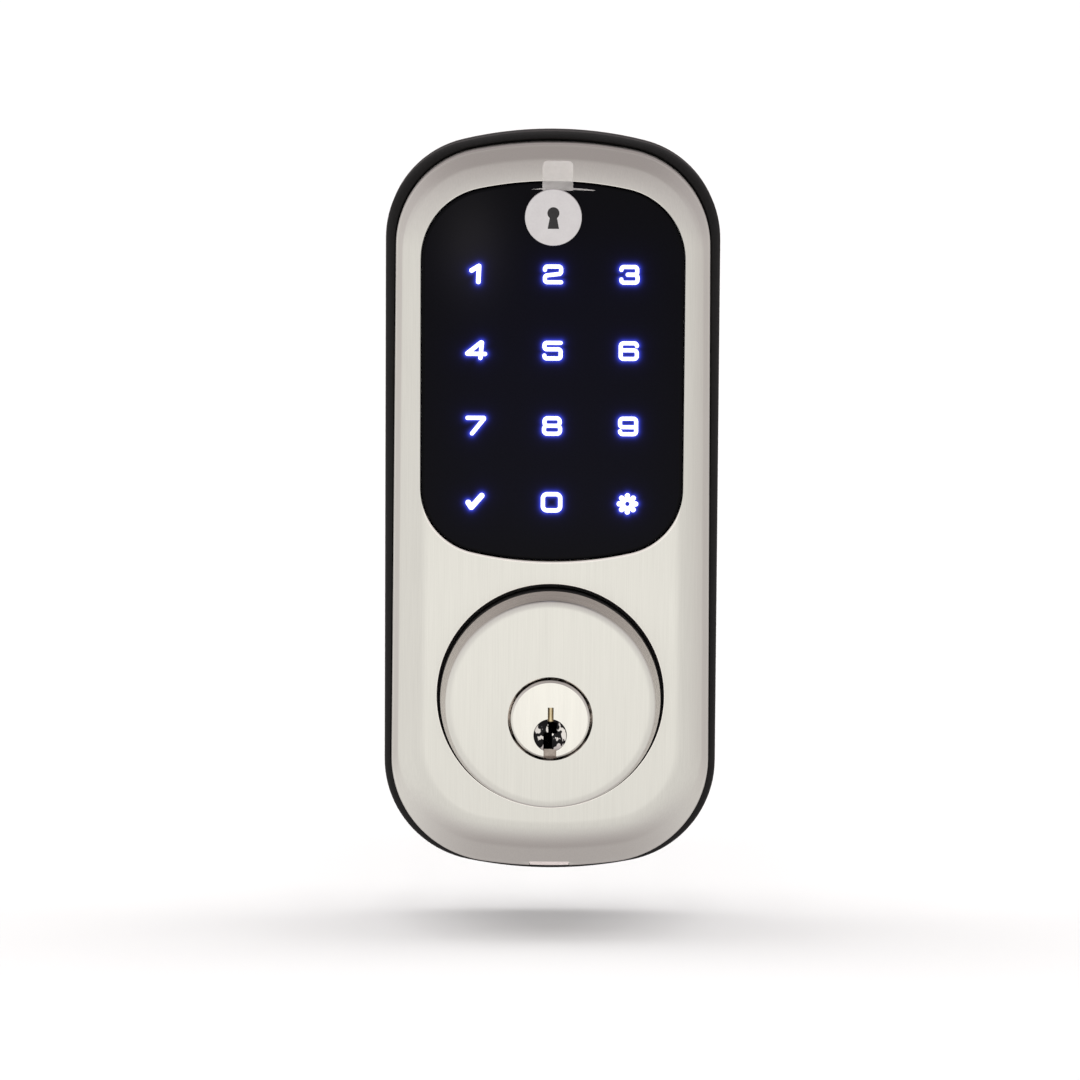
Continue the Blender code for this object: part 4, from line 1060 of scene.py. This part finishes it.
def coil_springs():
    """The springs over the driver pins, with closed ends."""
    wire, per_turn, turns = 0.19 * MM, 20, 7
    closed = 2.05 * wire
    section = circle(0, 0, wire, 8)
    for index in PINS:
        low, high, (x, y, _) = box_of(f"pin_spring_{index}")
        coil = (high.x - low.x) / 2 - wire
        bottom = low.z + wire
        open_height = high.z - wire - bottom - 2 * closed
        rings = []
        for step in range(turns * per_turn + 1):
            turn = step / per_turn
            middle = min(max(turn - 1, 0), turns - 2) / (turns - 2)
            z = bottom + closed * (min(turn, 1) + max(turn - turns + 1, 0)) + open_height * middle
            across, along = math.cos(TURN * turn), math.sin(TURN * turn)
            ring = [(x + (coil + out) * across, y + (coil + out) * along, z + rise) for out, rise in section]
            rings.append(ring)
        spring = skin(f"coil_spring_{index}", rings)
        piece(spring, "spring_steel", f"pin_spring_{index}", weighted=False)
        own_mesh(spring)


def cross_screws():
    """The screws that show from behind, with a domed head and a cross recess."""
    for node in ("housing_screw_1", "housing_screw_2", "cylinder_screw_1", "cylinder_screw_2"):
        low, high, (x, _, z) = box_of(node)
        head = (high.x - low.x) / 2
        length = 1.1 * MM if node.startswith("housing") else 1.4 * MM
        shoulder = high.y - length
        crest, core, dome, turns = 1.2 * MM, 0.98 * MM, 0.2 * MM, 9
        tip = low.y + 0.5 * MM
        profile = [(0.3 * MM, low.y), (crest, tip)]
        for turn in range(turns):
            start = tip + (shoulder - low.y - 0.9 * MM) * turn / turns
            profile += [(crest, start + 0.12 * MM), (core, start + 0.3 * MM)]
        profile += [(crest, shoulder), (head - 0.1 * MM, shoulder), (head, shoulder + 0.12 * MM)]
        for cosine, sine in arc(0, 0, 1, 0, QUARTER, 6):
            profile.append((dome + (head - dome) * cosine, high.y - (length - 0.55 * MM) * (1 - sine)))
        made = painted(turned(node.replace("screw", "cross_screw"), profile, x, z, 48), "zinc_steel")
        bars = []
        for wide, tall in ((1.25 * MM, 0.26 * MM), (0.26 * MM, 1.25 * MM)):
            start = (x - wide, high.y - 0.75 * MM, z - tall)
            bars.append(box("bar", start, (x + wide, high.y + MM, z + tall)))
        # The cross recess is painted near black: painted shade.
        cut(made, "recess_painted_shade", *bars)
        piece(made, "zinc_steel", node)


# ---- kept CAD nodes


def repaint():
    """The CAD nodes whose shape stays, each with the material that bears its slot's name."""
    for entry in frame["record"]["subparts"]:
        node = frame["nodes"][entry["node"]]
        slot_name = entry["material_slot"]
        look = LOOKS["light_guide" if slot_name == "lit_symbol" else slot_name]
        if not node.material_slots:
            node.data.materials.append(look)
        for slot in node.material_slots:
            slot.material = look


# ---- studio


def floor():
    """A wide pale floor just under the lock. Seen from below it lets the view through."""
    level, far = CAD_BOX[0].z - 9.5 * MM, 30.0
    corners = [(-far, -far, level), (far, -far, level), (far, far, level), (-far, far, level)]
    sheet = mesh_of("floor", corners, [(0, 1, 2, 3)])
    white = {"Specular_IOR_Level": 0.0, "Emission_Color": (1.0, 1.0, 1.0, 1.0), "Emission_Strength": 0.30}
    made, surface = shader("floor_white", (0.42, 0.42, 0.42), 0.9, **white)
    behind = added(surface, "NewGeometry").outputs["Backfacing"]
    shown(made, "MixShader", behind, surface.outputs[0], added(surface, "BsdfTransparent").outputs[0])
    sheet.data.materials.append(made)
    sheet.visible_glossy = False


# Red where it is bright, its rise where it is dark, the same of blue, and the most blue.
WARM = (1.015, 0.17, 0.93, 0.16, 0.99)
PINK = (1.0, 0.15, 1.0, 0.06, 1.06)


def ramp(value, stops, tint):
    """A colour ramp over -1 to 1. Each stop is (value, level), and dark levels are pinker, by the tint."""
    red, red_rise, blue, blue_rise, most = tint
    made = added(value, "ValToRGB", Fac=spread(value, 0, 1, -1, 1))
    elements = made.color_ramp.elements
    elements.remove(elements[1])
    for index, (place, level) in enumerate(stops):
        element = elements[0] if index == 0 else elements.new((place + 1) / 2)
        element.position = (place + 1) / 2
        dark = max(0.0, 1 - level)
        colour = (red + red_rise * dark, 1.0, min(most, blue + blue_rise * dark))
        element.color = (*(level * channel for channel in colour), 1.0)
    return made.outputs["Color"]


def world():
    """The room that the metal mirrors: brightest in front, greyer overhead, below and to the right."""
    made = bpy.data.worlds.new("studio")
    bpy.context.scene.world = made
    made.use_nodes = True
    background = made.node_tree.nodes["Background"]
    place = added(background, "TexCoord").outputs["Generated"]
    parts = added(background, "SeparateXYZ", Vector=place)
    heights = (
        (-1.0, 0.40), (-0.93, 0.52), (-0.74, 0.70), (-0.5, 0.82), (-0.25, 0.81), (-0.14, 0.82), (-0.06, 0.81),
        (0.05, 0.76), (0.20, 0.69), (0.41, 0.62), (0.62, 0.51), (0.8, 0.42), (1.0, 0.38),
    )
    sides = (
        (-1.0, 1.06), (-0.77, 1.09), (-0.35, 1.04), (-0.12, 1.02), (0.3, 0.98), (0.67, 0.99), (0.9, 0.90),
        (1.0, 0.78),
    )
    depths = ((-1.0, 1.0), (0.05, 1.0), (0.4, 0.84), (0.75, 0.68), (0.9, 0.60), (1.0, 0.60))
    level = ramp(parts.outputs["Z"], heights, WARM)
    for axis, stops in (("X", sides), ("Y", depths)):
        colours = {"A": level, "B": ramp(parts.outputs[axis], stops, PINK)}
        blend = [("data_type", "RGBA"), ("blend_type", "MULTIPLY")]
        level = added(background, "Mix", blend, Factor=1.0, **colours).outputs["Result"]
    wired(background, Color=level, Strength=1.0)


def front_glow():
    """A soft glow near the front that only the metal mirrors, so its flat is brightest round the cylinder."""
    wide, tall = 190 * MM, 105 * MM
    corners = [(-wide, 0, -tall), (wide, 0, -tall), (wide, 0, tall), (-wide, 0, tall)]
    card = mesh_of("front_glow", corners, [(0, 1, 2, 3)])
    card.location = (0, -420 * MM, -50 * MM)
    made = bpy.data.materials.new("front_glow")
    made.use_nodes = True
    nodes = made.node_tree.nodes
    nodes.remove(nodes["Principled BSDF"])
    place = added(nodes["Material Output"], "TexCoord").outputs["Object"]
    scaled = added(place, "Mapping", Vector=place, Scale=(1 / wide, 1.0, 1 / tall)).outputs["Vector"]
    ball = added(place, "TexGradient", [("gradient_type", "SPHERICAL")], Vector=scaled).outputs["Fac"]
    smooth = [("interpolation_type", "SMOOTHSTEP")]
    soft = added(place, "MapRange", smooth, Value=ball, To_Max=0.42).outputs["Result"]
    light = added(place, "Emission", Color=(1.015, 1.0, 0.93, 1.0), Strength=soft).outputs[0]
    shown(made, "AddShader", light, added(place, "BsdfTransparent").outputs[0])
    card.data.materials.append(made)
    card.visible_camera = card.visible_diffuse = False
    card.visible_shadow = card.visible_transmission = False


def lamps():
    """A wide overhead light in five strips, for the floor and its long soft shadow."""
    for index, degrees in enumerate((-40, -20, 0, 20, 40)):
        overhead = bpy.data.lights.new(f"overhead_{index}", "SUN")
        overhead.energy = 0.94
        overhead.angle = math.radians(26)
        lamp = add(f"overhead_{index}", overhead)
        sideways = Matrix.Rotation(math.radians(degrees), 4, "Y")
        forward = Matrix.Rotation(math.radians(-7), 4, "X")
        lamp.rotation_euler = (forward @ sideways).to_euler()
        lamp.visible_glossy = False


def camera():
    """The photograph's view: a long lens slightly above the lock, looking 9 degrees down."""
    made = bpy.data.cameras.new("camera")
    made.sensor_width = 36.0
    made.lens = 152.6
    made.clip_start = 0.05
    eye = add("camera", made)
    eye.location = (-2 * MM, -820 * MM, 157 * MM)
    down = Matrix.Rotation(math.radians(90 - 8.95), 4, "X")
    lean = Matrix.Rotation(math.radians(0.35), 4, "Z")
    eye.rotation_euler = (down @ lean).to_euler()
    bpy.context.scene.camera = eye
    bpy.context.scene.view_settings.view_transform = "Standard"


repaint()
front_cover()
notch_cover()
rear_housing()
door_gasket()
touch_lens()
key_symbols()
badge()
film_tab()
cylinder_face()
key_plug()
pin_tip()
cylinder_body()
plug_cap()
posts()
tailpiece()
coil_springs()
cross_screws()
floor()
world()
front_glow()
lamps()
camera()

bpy.context.view_layer.update()
